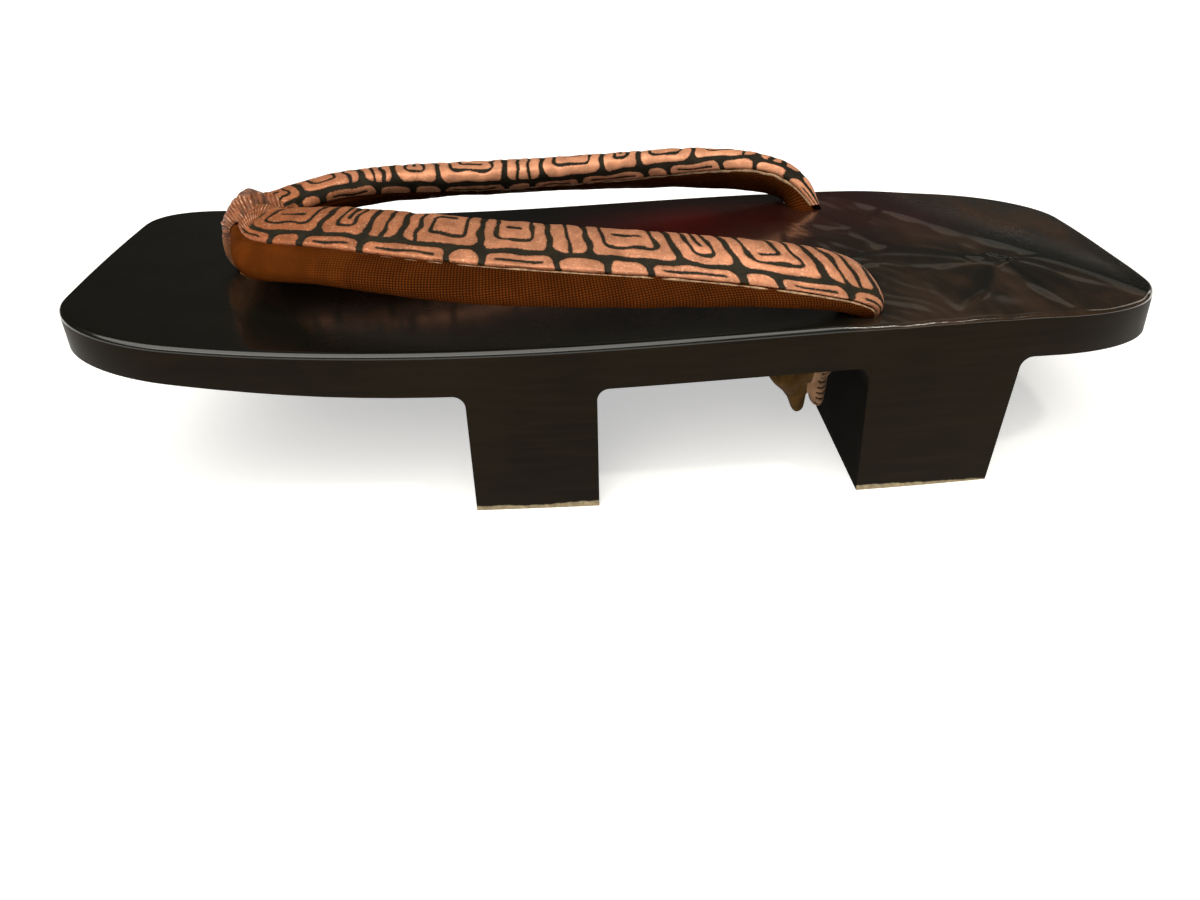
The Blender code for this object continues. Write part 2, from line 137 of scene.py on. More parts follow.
# Small forms of the strap that only show
CREASE_DEPTH = 0.00035
FACE_RIPPLE = 0.00010
SEAM_HEIGHT = 0.00055
NEAR_EDGING = 0.50
FAR_EDGING = 0.85
HIDDEN_EDGING = 0.01
EDGING_INSET = 0.00042
EDGING_STEP = 0.0005
EDGING_WOBBLE = 0.00012

# Toe loop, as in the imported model
LOOP_AT = 0.0360
LOOP_LENGTH = 0.0118
LOOP_WIDTH = 0.0160
LOOP_RISE = 0.0185
STEM_AT = 0.0340
STEM_RADIUS = 0.0038
KNOT_WIDTH = 0.0146
LoopRow = namedtuple("LoopRow", "up half_length half_width shift")
LOOP = (
    LoopRow(0.05, 0.63, 0.46, 0.00),
    LoopRow(0.13, 0.74, 0.48, -0.35),
    LoopRow(0.24, 0.90, 0.52, -0.35),
    LoopRow(0.38, 1.00, 0.58, -0.10),
    LoopRow(0.52, 1.04, 0.68, 0.15),
    LoopRow(0.66, 1.00, 0.84, 0.43),
    LoopRow(0.80, 0.82, 0.96, 0.68),
    LoopRow(0.91, 0.58, 0.78, 0.76),
    LoopRow(1.00, 0.27, 0.38, 0.83),
)

# The loop's hood, with x from the toe end: the notch where both arms meet it, how far beside and above the
# notch the point lies that its pleats run to, the hood's lean, its swell over the near arm, and the pinch at
# its front
NOTCH = (0.0395, 0.0010, 0.0529)
FAN_SHIFT = (0.0050, -0.0130)
LEAN_ASIDE = (0.999, -0.04, -0.03)
LEAN_UP = (0.047, 0.513, 0.857)
HOOD_SWELL = 0.22
PINCH = (0.0302, -0.0030, 0.0500)
PINCH_DEPTH = 0.0009
PINCH_WIDTH = 0.0007
# The hood's cloth on the near arm: its thickness, and its hem as shares across and millimetres along
HOOD_CLOTH = 0.00035
HEM = ((0.0, 0.12, 0.25, 0.42, 0.5), (9.5, 13.2, 13.9, 12.6, 14.0))

# The carved spray on the heel: leaves as (x, y) of base and tip in millimetres, x from the toe end,
# with a tilt from -1 to 1 that raises one long side over the other
Leaf = namedtuple("Leaf", "base tip width bend height tilt")
LEAVES = (
    Leaf((201.0, -8.0), (177.0, 13.0), 12.0, 0.08, 0.62, 0.9),
    Leaf((198.0, -13.0), (172.0, -7.0), 10.5, -0.08, 0.55, -0.8),
    Leaf((201.0, -15.0), (186.0, -38.0), 11.5, -0.10, 0.60, 0.9),
    Leaf((207.0, -13.0), (210.0, -38.0), 9.5, 0.08, 0.52, -0.8),
    Leaf((209.0, -9.5), (228.0, -30.0), 9.0, 0.10, 0.55, 0.9),
    Leaf((176.0, 14.0), (170.0, 36.0), 8.5, 0.12, 0.45, -0.8),
    Leaf((173.0, -14.0), (161.0, -29.0), 8.5, 0.10, 0.42, 0.8),
)
Stem = namedtuple("Stem", "start end bend width height")
STEMS = (
    Stem((204.0, -10.0), (176.0, 16.0), 0.10, 2.2, 0.40),
    Stem((204.0, -11.0), (172.0, -12.0), -0.08, 2.0, 0.34),
    Stem((181.0, 12.0), (194.0, 30.0), 0.12, 2.0, 0.30),
)
BUD_AT = (204.0, -11.0)
BUD_RADIUS = 5.2
BUD_TURN = 0.6
# The line where the carving ends, as (x, y), and beyond which the far heel dips
RIDGE = (
    (160.0, 47.0), (181.0, 36.0), (191.7, 20.9), (201.4, 6.6), (210.7, -3.8), (221.8, -19.9), (229.6, -31.2),
)
CARVED_FROM = (158.0, 172.0)
CARVED_TO = (234.0, 222.0)
GROUND_DEPTH = 0.55
CHISEL_PITCH = 3.4
CHISEL_DEPTH = 0.05
VEIN_DEPTH = 0.10
GROOVE_DEPTH = 0.08
LIP_HEIGHT = 0.05
HEEL_DIP = 0.9

# Print of the strap, in millimetres along it and across it
PRINT_WIDTH = 24.0
TAB_WIDTH = 3.3
CHANNEL = 1.4
BAND = 2.7
PATCH_CORNER = 1.7
LINE_CORNER = 1.3
Cell = namedtuple("Cell", "motif length")
NEAR_CELLS = (
    Cell("hook", 15.0), Cell("nest", 18.0), Cell("gate", 10.5), Cell("bars", 7.5), Cell("hook", 17.0),
    Cell("nest", 14.5), Cell("bars", 8.0), Cell("nest", 17.5), Cell("gate", 11.0), Cell("hook", 16.0),
    Cell("bars", 9.5), Cell("nest", 15.5), Cell("hook", 16.0),
)
FAR_CELLS = (
    Cell("nest", 17.0), Cell("hook", 15.5), Cell("bars", 8.5), Cell("gate", 11.5), Cell("hook", 18.0),
    Cell("bars", 10.0), Cell("nest", 16.5), Cell("gate", 10.5), Cell("nest", 15.0), Cell("hook", 17.0),
    Cell("bars", 8.5), Cell("nest", 16.0), Cell("hook", 16.0),
)
TAB_LENGTHS = (8.0, 17.0, 7.0, 13.0, 18.0, 6.5, 15.0, 9.5)


def colour(name, description, default):
    return FloatVectorProperty(name=name, description=description, subtype="COLOR", default=default)


def distance(name, description, default):
    return FloatProperty(name=name, description=description, default=default, unit="LENGTH")


class GetaBlock(PropertyGroup):
    arris: distance("Arris", "Radius of the top edge", 0.0012)
    foot_edge: distance("Foot edge", "Radius of the lower edges", 0.0009)
    worn: distance("Worn edge", "Height of the bare strip at the feet", 0.0009)
    lacquer: colour("Lacquer", "Colour of the polished deck", (0.0052, 0.0052, 0.0036))
    # Painted reflection: a red tint that stands in for the strap's reflection in the deck in front of the far
    # arm
    strap_reflection: colour("Tint", "Red undercoat that shows through", (0.058, 0.0052, 0.0050))
    rubbed: colour("Rubbed", "Brown of the carved ground", (0.052, 0.0285, 0.0165))
    # Painted reflection: a grey-teal glow painted on the far heel corner of the deck
    corner_reflection: colour("Reflection", "Grey bloom of the far heel corner", (0.018, 0.024, 0.025))
    satin: colour("Satin", "Colour of the sides and teeth", (0.0098, 0.0062, 0.0028))
    wood: colour("Bare wood", "Colour of the worn wood", (0.36, 0.29, 0.18))


class GetaStrap(PropertyGroup):
    line: FloatProperty(name="Line", description="Half width of the inked lines in millimetres",
                        default=0.43)
    relief: distance("Relief", "How far the foil patches stand up", 0.00012)
    foil: colour("Foil", "Colour of the printed patches", (0.540, 0.228, 0.122))
    # Foil of the patches towards the toe, darker than towards the heel
    toe_foil: colour("Rubbed foil", "Colour of the patches at the toe", (0.415, 0.134, 0.052))
    # Painted light: the far arm's patches are made paler and pinker, as if more light fell on them
    lit_far_foil: colour("Lit foil", "Colour of the patches on the far arm", (0.780, 0.345, 0.192))
    ink: colour("Ink", "Colour of the lines", (0.0110, 0.0082, 0.0034))
    lining: colour("Lining", "Colour of the woven lining", (0.092, 0.0215, 0.0022))
    edging: colour("Edging", "Colour of the raw edge", (0.50, 0.32, 0.19))
    edging_width: distance("Edging width", "Thickness of the raw edge", 0.0010)


class GetaLoop(PropertyGroup):
    cloth: colour("Cloth", "Colour of the toe loop", (0.330, 0.112, 0.046))
    knot: colour("Knot", "Colour of the knots under the deck", (0.075, 0.037, 0.007))
    tail: colour("Tail", "Colour of the printed tail of a knot", (0.200, 0.112, 0.062))
    strand: colour("Strand", "Colour of the strand below the hood", (0.235, 0.082, 0.022))
    pleats: IntProperty(name="Pleats", description="Large pleats in a whole turn of the fan", default=62,
                        min=8)
    fine_pleats: IntProperty(name="Fine pleats", description="Fine pleats in a whole turn of the fan",
                             default=125, min=8)
    pleat_depth: distance("Pleat depth", "Depth of a pleat", 0.00018)


class GetaStage(PropertyGroup):
    floor: colour("Floor", "Colour of the floor", (0.86, 0.86, 0.85))
    sun: FloatProperty(name="Sun", description="Strength of the soft sun", default=3.4, min=0)
    glow: FloatProperty(name="Glow", description="Light that the pale floor gives off", default=0.50, min=0)
    key: FloatProperty(name="Softboxes", description="Power of the softboxes", default=4.0, subtype="POWER")
    lens: FloatProperty(name="Lens", description="Focal length of the camera in millimetres", default=29.92)


# Curves and sections


def spline(knots, values, at):
    """Natural cubic spline through the values."""
    knots = np.asarray(knots, float)
    values = np.asarray(values, float)
    at = np.asarray(at, float)
    step = np.diff(knots)
    slope = np.diff(values) / step
    size = len(knots)
    matrix = np.eye(size)
    right = np.zeros(size)
    for i in range(1, size - 1):
        matrix[i, i - 1:i + 2] = step[i - 1], 2 * (step[i - 1] + step[i]), step[i]
        right[i] = 6 * (slope[i] - slope[i - 1])
    bend = np.linalg.solve(matrix, right)
    i = np.clip(np.searchsorted(knots, at) - 1, 0, size - 2)
    left = at - knots[i]
    first = slope[i] - step[i] * (2 * bend[i] + bend[i + 1]) / 6
    third = (bend[i + 1] - bend[i]) / (6 * step[i])
    return values[i] + left * (first + left * (bend[i] / 2 + left * third))


def column(rows, name):
    return [getattr(row, name) for row in rows]


def block_value(name, x):
    half = LENGTH / 2
    return spline(column(BLOCK, "along"), column(BLOCK, name), (np.asarray(x) - half) / half)


def deck_top(x):
    return DECK_HEIGHT + TOE_SPRING * block_value("rise", x)


def deck_under(x):
    return deck_top(x) - DECK_THICKNESS * block_value("thickness", x)


def half_width(x):
    return WIDTH / 2 * block_value("half_width", x)


def from_toe(x):
    return x - LENGTH / 2


def travelled(points):
    """Distance along each line of points, from 0 at its first point."""
    step = np.linalg.norm(np.diff(points, axis=-2), axis=-1)
    return np.concatenate([np.zeros((*step.shape[:-1], 1)), np.cumsum(step, axis=-1)], axis=-1)


def whole_turn(count):
    """Angles evenly round a whole turn."""
    return np.linspace(0, 2 * math.pi, count, endpoint=False)


def smooth(low, high, value):
    """0 below low, 1 above high and a soft step between them."""
    t = np.clip((value - low) / (high - low), 0, 1)
    return t * t * (3 - 2 * t)


def ripple(x, y, seed, count=6):
    """A soft random field about -1 to 1, with features about 1 long."""
    dice = np.random.default_rng(seed)
    total = np.zeros(np.broadcast(x, y).shape)
    for _ in range(count):
        turn, phase = dice.uniform(0, 2 * math.pi, 2)
        rate = dice.uniform(3.5, 7.5)
        total += np.sin(rate * (x * math.cos(turn) + y * math.sin(turn)) + phase)
    return total / math.sqrt(count)


# Meshes


def new_object(name, data):
    thing = bpy.data.objects.new(name, data)
    bpy.context.scene.collection.objects.link(thing)
    return thing


def shade(mesh, sharp):
    """Smooth shading that breaks at edges sharper than so many degrees."""
    mesh.shade_smooth()
    if sharp:
        mesh.set_sharp_from_angle(angle=math.radians(sharp))


def new_piece(name, mesh, material=None, sharp=40):
    if material:
        mesh.materials.append(material)
    shade(mesh, sharp)
    return new_object(name, mesh)


def grid_faces(rows, columns, around):
    """Quads between rows of points, closed round each row if asked."""
    last = columns if around else columns - 1
    faces = []
    for i in range(rows - 1):
        for j in range(last):
            k = (j + 1) % columns
            faces.append((i * columns + j, i * columns + k, (i + 1) * columns + k, (i + 1) * columns + j))
    return faces


def tube_mesh(name, rings):
    """A closed solid through rings, with its ends fanned to their middles."""
    rings = np.asarray(rings)
    rows, columns = rings.shape[:2]
    points = [tuple(p) for p in rings.reshape(-1, 3)]
    faces = grid_faces(rows, columns, True)
    for row, flip in ((0, True), (rows - 1, False)):
        points.append(tuple(rings[row].mean(0)))
        tip = len(points) - 1
        for j in range(columns):
            a, b = row * columns + j, row * columns + (j + 1) % columns
            faces.append((tip, b, a) if flip else (tip, a, b))
    mesh = bpy.data.meshes.new(name)
    mesh.from_pydata(points, [], faces)
    outward(mesh)
    return mesh


def outward(mesh):
    bm = bmesh.new()
    bm.from_mesh(mesh)
    bmesh.ops.recalc_face_normals(bm, faces=bm.faces)
    bm.to_mesh(mesh)
    bm.free()


def coordinates(mesh):
    flat = np.empty(len(mesh.vertices) * 3)
    mesh.vertices.foreach_get("co", flat)
    return flat.reshape(-1, 3)


def set_attribute(mesh, name, values, tips=()):
    """A value for each vertex, with those of a tube's two tips last."""
    layer = mesh.attributes.new(name, "FLOAT", "POINT")
    layer.data.foreach_set("value", np.concatenate([np.ravel(values), tips]))


def set_uv(mesh, uv):
    """A UV map from one (u, v) for each vertex."""
    layer = mesh.uv_layers.new(name="cloth")
    corners = np.empty(len(mesh.loops), int)
    mesh.loops.foreach_get("vertex_index", corners)
    layer.data.foreach_set("uv", np.asarray(uv, float)[corners].ravel())


def boolean(piece, cutter, operation):
    """Cuts or joins at once, and removes the cutter."""
    step = piece.modifiers.new(operation.title(), "BOOLEAN")
    step.operation = operation
    step.object = cutter
    step.solver = "EXACT"
    apply_modifiers(piece)
    bpy.data.objects.remove(cutter, do_unlink=True)


def apply_modifiers(piece):
    graph = bpy.context.evaluated_depsgraph_get()
    made = bpy.data.meshes.new_from_object(piece.evaluated_get(graph))
    old = piece.data
    piece.modifiers.clear()
    piece.data = made
    made.name = old.name
    bpy.data.meshes.remove(old)


# Materials


def toned(colour, share):
    """A colour made darker or lighter."""
    return tuple(share * c for c in colour)


class Finish:
    """A material being put together from nodes, with short calls for the nodes used here."""

    def __init__(self, name, **sockets):
        self.material = bpy.data.materials.new(name)
        self.material.use_nodes = True
        self.nodes = self.material.node_tree.nodes
        self.links = self.material.node_tree.links
        self.shader = self.nodes["Principled BSDF"]
        for key, value in sockets.items():
            self.shader.inputs[key.replace("_", " ")].default_value = value

    def put(self, socket, value):
        if isinstance(value, bpy.types.NodeSocket):
            self.links.new(value, socket)
        elif socket.type == "RGBA":
            socket.default_value = (*value, 1.0)
        else:
            socket.default_value = value

    def node(self, kind, inputs=None, **settings):
        node = self.nodes.new(kind)
        for key, value in settings.items():
            setattr(node, key, value)
        for key, value in (inputs or {}).items():
            self.put(node.inputs[key], value)
        return node

    def place(self, scale=(1, 1, 1), turn=(0, 0, 0), source="Object"):
        where = self.node("ShaderNodeTexCoord").outputs[source]
        return self.node("ShaderNodeMapping", {"Vector": where, "Scale": scale, "Rotation": turn}).outputs[0]

    def axes(self, vector):
        return self.node("ShaderNodeSeparateXYZ", {"Vector": vector}).outputs

    def noise(self, vector, scale, detail=2.0, roughness=0.5):
        inputs = {"Vector": vector, "Scale": scale, "Detail": detail, "Roughness": roughness}
        return self.node("ShaderNodeTexNoise", inputs).outputs["Fac"]

    def cells(self, vector, scale):
        """Distance to the nearest border between cells."""
        inputs = {"Vector": vector, "Scale": scale}
        return self.node("ShaderNodeTexVoronoi", inputs, feature="DISTANCE_TO_EDGE").outputs[0]

    def warped(self, vector, scale, reach):
        """A place pushed about by noise, by up to reach."""
        push = self.node("ShaderNodeTexNoise", {"Vector": vector, "Scale": scale}).outputs["Color"]
        push = self.node("ShaderNodeVectorMath", {0: push, "Scale": reach}, operation="SCALE").outputs[0]
        return self.node("ShaderNodeVectorMath", {0: vector, 1: push}, operation="ADD").outputs[0]

    def waves(self, vector, scale, bands, distortion):
        inputs = {"Vector": vector, "Scale": scale, "Distortion": distortion, "Detail": 1.0}
        node = self.node("ShaderNodeTexWave", inputs, bands_direction=bands, wave_profile="SIN")
        return node.outputs["Fac"]

    def attribute(self, name):
        return self.node("ShaderNodeAttribute", attribute_name=name).outputs["Fac"]

    def span(self, value, low, high, to_low=0.0, to_high=1.0, soft=True):
        inputs = {"Value": value, "From Min": low, "From Max": high, "To Min": to_low, "To Max": to_high}
        kind = "SMOOTHSTEP" if soft else "LINEAR"
        return self.node("ShaderNodeMapRange", inputs, interpolation_type=kind).outputs[0]

    def maths(self, operation, one, two=0.0):
        node = self.node("ShaderNodeMath", operation=operation)
        self.put(node.inputs[0], one)
        self.put(node.inputs[1], two)
        return node.outputs[0]

    def product(self, one, two):
        return self.maths("MULTIPLY", one, two)

    def mix(self, share, one, two, blend="MIX"):
        node = self.node("ShaderNodeMix", data_type="RGBA", blend_type=blend)
        self.put(node.inputs["Factor"], share)
        self.put(node.inputs[6], one)
        self.put(node.inputs[7], two)
        return node.outputs[2]

    def tinted(self, colour, share):
        """A colour times a share that varies over the surface."""
        grey = self.node("ShaderNodeCombineColor", {0: share, 1: share, 2: share}).outputs[0]
        return self.mix(1.0, colour, grey, "MULTIPLY")

    def bump(self, height, distance, strength=1.0, below=None):
        inputs = {"Height": height, "Distance": distance, "Strength": strength}
        if below:
            inputs["Normal"] = below
        return self.node("ShaderNodeBump", inputs).outputs[0]

    def done(self, **sockets):
        for key, value in sockets.items():
            self.put(self.shader.inputs[key.replace("_", " ")], value)
        return self.material


def deck_lacquer(block):
    """Deep polished lacquer, with a painted reflection of the strap as a red tint on the deck in front of its
    far arm, a painted grey reflection on the far heel corner, and a rubbed brown ground in the carving.
    """
    f = Finish("deck_lacquer", Coat_Weight=0.9, Coat_Roughness=0.14, Coat_IOR=1.45, Specular_IOR_Level=0.2)
    where = f.place()
    place = f.axes(where)
    # Painted reflection of the strap: a patchy red tint on the deck in front of the far arm
    behind = f.product(f.span(place["X"], -0.035, 0.012), f.span(place["X"], 0.108, 0.060))
    behind = f.product(behind, f.span(place["Y"], -0.010, 0.026))
    patches = f.span(f.noise(where, 22.0, 3.0, 0.6), 0.35, 0.70, 0.35, 1.0)
    strap_reflection_share = f.product(behind, patches)
    deep = f.mix(f.product(strap_reflection_share, 0.9), block.lacquer, block.strap_reflection)
    # Painted reflection: a grey-teal glow on the far heel corner
    corner_reflection = f.product(f.span(place["X"], 0.060, 0.105), f.span(place["Y"], -0.020, 0.030))
    deep = f.mix(f.product(corner_reflection, 0.8), deep, block.corner_reflection)
    slanted = f.place(scale=(1.0, 0.35, 1.0), turn=(0, 0, 0.6))
    streaks = f.span(f.noise(slanted, 90.0, 4.0, 0.65), 0.35, 0.65, 0.3, 1.0)
    worn = f.product(f.span(f.attribute("carved"), 0.0, 1.0, 0.0, 0.9), streaks)
    colour = f.mix(f.product(worn, patches), deep, block.rubbed)
    rough = f.span(f.noise(where, 60.0, 3.0), 0.3, 0.75, 0.20, 0.36)
    orange_peel = f.bump(f.noise(where, 240.0, 2.0), 0.00003, 0.25)
    specks = f.span(f.noise(where, 1500.0, 1.0), 0.74, 0.80)
    normal = f.bump(specks, 0.00004, 0.25, orange_peel)
    return f.done(Base_Color=colour, Roughness=rough, Normal=normal)


def side_lacquer(block):
    """Satin lacquer of the sides and teeth, worn to bare wood along the feet, with painted shade that darkens
    the teeth's end faces.
    """
    f = Finish("side_lacquer", Specular_IOR_Level=0.05)
    where = f.place()
    grain = f.noise(f.place(scale=(1.0, 1.0, 14.0)), 60.0, 4.0, 0.6)
    mottled = f.noise(where, 35.0, 3.0, 0.6)
    dark = toned(block.satin, 0.55)
    lacquer = f.mix(f.span(mottled, 0.3, 0.75), dark, block.satin)
    lacquer = f.mix(f.span(grain, 0.35, 0.8, 0.0, 0.35), lacquer, toned(block.satin, 1.7))
    place = f.axes(where)
    height = place["Z"]
    nibbled = f.span(f.noise(where, 160.0, 3.0, 0.7), 0.2, 0.8, -0.0004, 0.0004, soft=False)
    swaying = f.span(f.noise(where, 28.0, 1.0), 0.3, 0.7, -0.0003, 0.0003, soft=False)
    edge = f.maths("ADD", f.maths("ADD", height, nibbled), swaying)
    # The rear foot is worn deeper at its front than at its back
    rear = f.span(place["X"], 0.030, 0.032)
    taper = f.span(place["X"], 0.054, 0.080, 1.5, 0.1, soft=False)
    share = f.maths("ADD", f.maths("SUBTRACT", 1.0, rear), f.product(rear, taper))
    edge = f.maths("SUBTRACT", edge, f.product(share, block.worn))
    fibres = f.noise(f.place(scale=(1.0, 8.0, 1.0)), 900.0, 3.0, 0.65)
    wood = f.mix(f.span(fibres, 0.3, 0.75), toned(block.wood, 0.55), block.wood)
    # Painted shade: the end faces of the teeth are made near black and rougher, and kept free of bare wood
    turned = f.axes(f.node("ShaderNodeNewGeometry").outputs["Normal"])["X"]
    end_face_shade = f.product(f.span(f.maths("ABSOLUTE", turned), 0.5, 0.9), f.span(height, 0.029, 0.024))
    bare = f.product(f.span(edge, -0.0002, 0.0002, 1.0, 0.0), f.maths("SUBTRACT", 1.0, end_face_shade))
    lacquer = f.mix(f.product(end_face_shade, 0.85), lacquer, toned(block.satin, 0.15))
    colour = f.mix(bare, lacquer, wood)
    rough = f.maths("ADD", f.span(mottled, 0.3, 0.7, 0.38, 0.52), f.product(bare, 0.35))
    rough = f.maths("ADD", rough, f.product(end_face_shade, 0.5))
    soft = f.bump(grain, 0.00005, 0.35)
    normal = f.bump(fibres, 0.00005, f.product(bare, 0.6), soft)
    return f.done(Base_Color=colour, Roughness=rough, Normal=normal)


def print_finish(strap, loop):
    """Crinkled copper foil patches on a dark ground, both from the charted print, with the far arm's foil
    painted paler as painted light, and the hood's cloth, with its painted pleat shade and highlights, where
    it wraps the face.
    """
    f = Finish("printed_leather", Specular_IOR_Level=0.20)
    where = f.place()
    ragged = f.span(f.noise(where, 1900.0, 3.0, 0.7), 0.25, 0.75, -0.16, 0.16, soft=False)
    depth = f.maths("ADD", f.attribute("print_depth"), ragged)
    patch = f.span(depth, -0.05, 0.07)
    shade = f.noise(where, 300.0, 4.0, 0.6)
    place = f.axes(where)
    # The foil grows paler from the toe towards the heel
    heelward = f.span(place["X"], -0.080, -0.010)
    less_at_toe = f.span(place["X"], -0.090, -0.020, 0.35, 1.0)
    # Painted light: the far arm's foil is made paler and pinker, less so towards the toe
    far_arm_light = f.product(f.span(place["Y"], -0.002, 0.020), less_at_toe)
    foil = f.mix(heelward, strap.toe_foil, strap.foil)
    foil = f.mix(far_arm_light, foil, strap.lit_far_foil)
    tone = f.span(shade, 0.3, 0.7, 0.74, 1.12)
    foil = f.tinted(foil, tone)
    creased = f.span(f.cells(f.warped(where, 700.0, 0.0009), 620.0), 0.0, 0.12)
    flecks = f.span(f.noise(where, 2100.0, 2.0, 0.6), 0.60, 0.68, 0.0, 0.45)
    foil = f.mix(flecks, foil, (0.95, 0.60, 0.40))
    rubbed = f.span(f.noise(where, 1300.0, 3.0, 0.7), 0.66, 0.74, 0.0, 0.65)
    foil = f.mix(rubbed, foil, toned(strap.ink, 2.2))
    rim = f.span(depth, 0.0, 0.40, 0.66, 1.0)
    foil = f.tinted(foil, rim)
    ink = f.mix(f.span(shade, 0.4, 0.7), strap.ink, toned(strap.ink, 1.9))
    wrapped = f.attribute("wrapped")
    # The hood's cloth where it wraps the face, with painted shade in its pleats' troughs and painted
    # highlights on their crests
    cloth, rays = pleated_cloth(f, loop)
    colour = f.mix(wrapped, f.mix(patch, ink, foil), cloth)
    fine = f.noise(where, 1900.0, 3.0, 0.6)
    first = f.bump(creased, 0.00006, 0.30)
    second = f.bump(f.noise(where, 620.0, 2.0, 0.5), 0.00020, 0.5, first)
    third = f.bump(rays, 0.00008, f.product(wrapped, 0.7), second)
    normal = f.bump(fine, 0.00007, 0.6, third)
    rough = f.maths("SUBTRACT", f.span(fine, 0.3, 0.7, 0.62, 0.78), f.product(patch, 0.26))
    metal = f.product(f.product(patch, 0.30), f.maths("SUBTRACT", 1.0, wrapped))
    return f.done(Base_Color=colour, Roughness=rough, Metallic=metal, Normal=normal)


def lining_finish(strap):
    """Matt woven cloth whose weave fades towards the toe, where it is rubbed smooth, with painted highlights
    on the raised threads and painted shade in the holes between them.
    """
    f = Finish("brown_cloth", Roughness=0.85, Specular_IOR_Level=0.03)
    uv = f.place(source="UV")
    fades = f.attribute("weave")
    warp = f.waves(uv, 0.52, "X", 0.5)
    weft = f.waves(f.place(source="UV", turn=(0, 0, 0.10)), 0.62, "Y", 0.5)
    weave = f.product(warp, weft)
    tone = f.noise(f.place(), 130.0, 3.0, 0.6)
    cloth = f.mix(f.span(tone, 0.3, 0.7), toned(strap.lining, 0.78), toned(strap.lining, 1.25))
    # Painted highlight on the raised threads of the weave
    raised = f.product(fades, f.span(weave, 0.3, 0.9, 0.0, 0.6))
    cloth = f.mix(raised, cloth, toned(strap.lining, 1.9))
    # Painted shade in the holes of the weave
    hole_shade = f.product(f.span(weave, 0.04, 0.34, 1.0, 0.0), fades)
    colour = f.mix(f.product(hole_shade, 0.80), cloth, toned(strap.lining, 0.12))
    normal = f.bump(weave, 0.00022, f.product(fades, 0.9))
    nap = f.bump(f.noise(f.place(), 3000.0, 2.0), 0.00005, 0.35, normal)
    return f.done(Base_Color=colour, Normal=nap)


def edging_finish(strap):
    """Fuzzy raw edge of the face's backing."""
    f = Finish("raw_edge", Roughness=0.9, Specular_IOR_Level=0.15)
    where = f.place()
    tone = f.span(f.noise(where, 900.0, 3.0, 0.7), 0.3, 0.75)
    colour = f.mix(tone, toned(strap.edging, 0.38), strap.edging)
    return f.done(Base_Color=colour, Normal=f.bump(f.noise(where, 2500.0, 2.0), 0.0001, 0.6))


def pleated_cloth(f, loop):
    """Colour of the pleated cloth and the height of its fine pleats, which follow the rays of the fan, with
    painted shade in the pleats' troughs and painted highlights on their crests.
    """
    where = f.place()
    tone = f.noise(where, 350.0, 3.0, 0.6)
    cloth = f.mix(f.span(tone, 0.3, 0.7), toned(loop.cloth, 0.72), toned(loop.cloth, 1.12))
    wander = f.span(f.noise(where, 260.0, 2.0), 0.2, 0.8, -2.4, 2.4, soft=False)
    rays = f.maths("SINE", f.maths("ADD", f.product(f.attribute("ray"), loop.fine_pleats), wander))
    broken = f.span(f.noise(where, 480.0, 3.0, 0.6), 0.38, 0.55)
    # Painted shade in the troughs of the fine pleats
    trough_shade = f.product(f.span(rays, -0.1, -0.9), broken)
    colour = f.mix(f.product(trough_shade, 0.85), cloth, toned(loop.cloth, 0.20))
    # Painted highlights on the crests of the fine pleats
    glints = f.product(f.span(rays, 0.4, 0.95), f.span(f.noise(where, 620.0, 2.0), 0.50, 0.62))
    return f.mix(f.product(glints, 0.7), colour, (0.80, 0.50, 0.34)), rays


def loop_finish(loop):
    """Soft rosy brown crepe in fine pleats, with a darker smooth strand below the hood, painted shade in its
    folds, tucks and pleats' troughs and painted highlights on the pleats' crests.
    """
    f = Finish("pleated_cloth", Roughness=0.58, Sheen_Weight=0.15, Sheen_Roughness=0.35,
               Specular_IOR_Level=0.30)
    where = f.place()
    hood = f.attribute("hood")
    tone = f.noise(where, 350.0, 3.0, 0.6)
    strand = f.mix(f.span(tone, 0.3, 0.7), toned(loop.strand, 0.6), toned(loop.strand, 1.2))
    cloth, rays = pleated_cloth(f, loop)
    colour = f.mix(hood, strand, cloth)
    # Painted shade where the loop is pressed in by its pleats, folds and the pinch
    fold_shade = f.span(f.attribute("pleat"), -1.0, 0.1, 0.7, 0.0)
    colour = f.mix(fold_shade, colour, toned(loop.cloth, 0.20))
    fine = f.bump(f.noise(where, 2600.0, 2.0), 0.00005, 0.4)
    normal = f.bump(rays, 0.00008, f.product(hood, 0.7), fine)
    return f.done(Base_Color=colour, Normal=normal)


def knot_finish(loop, name):
    """Matt yellow-brown cloth, with a pinkish tail, and painted shade that makes its tucks and creases dark.
    """
    f = Finish(name, Roughness=0.8, Sheen_Weight=0.05, Sheen_Roughness=0.4, Specular_IOR_Level=0.05)
    where = f.place()
    tone = f.noise(where, 260.0, 3.0, 0.6)
    plain = f.mix(f.span(tone, 0.3, 0.72), toned(loop.knot, 0.55), loop.knot)
    printed = f.mix(f.span(tone, 0.35, 0.6), toned(loop.tail, 0.8), toned(loop.tail, 1.1))
    colour = f.mix(f.span(f.attribute("printed"), 0.3, 0.7), plain, printed)
    # Painted shade in the tucks and creases that dress_knot presses in
    fold_shade = f.span(f.attribute("fold"), -0.8, -0.1, 0.97, 0.0)
    colour = f.mix(fold_shade, colour, toned(loop.tail, 0.05))
    cells = f.span(f.cells(where, 1500.0), 0.0, 0.2)
    return f.done(Base_Color=colour, Normal=f.bump(cells, 0.00006, 0.5))


# Block


def corner_curve(start, toward, end, steps):
    start, toward, end = (np.asarray(p, float) for p in (start, toward, end))
    first = start + (toward - start) * CORNER_HANDLE
    second = end + (toward - end) * CORNER_HANDLE
    t = np.linspace(0, 1, steps + 1)[:, None]
    s = 1 - t
    return s ** 3 * start + 3 * s * s * t * first + 3 * s * t * t * second + t ** 3 * end


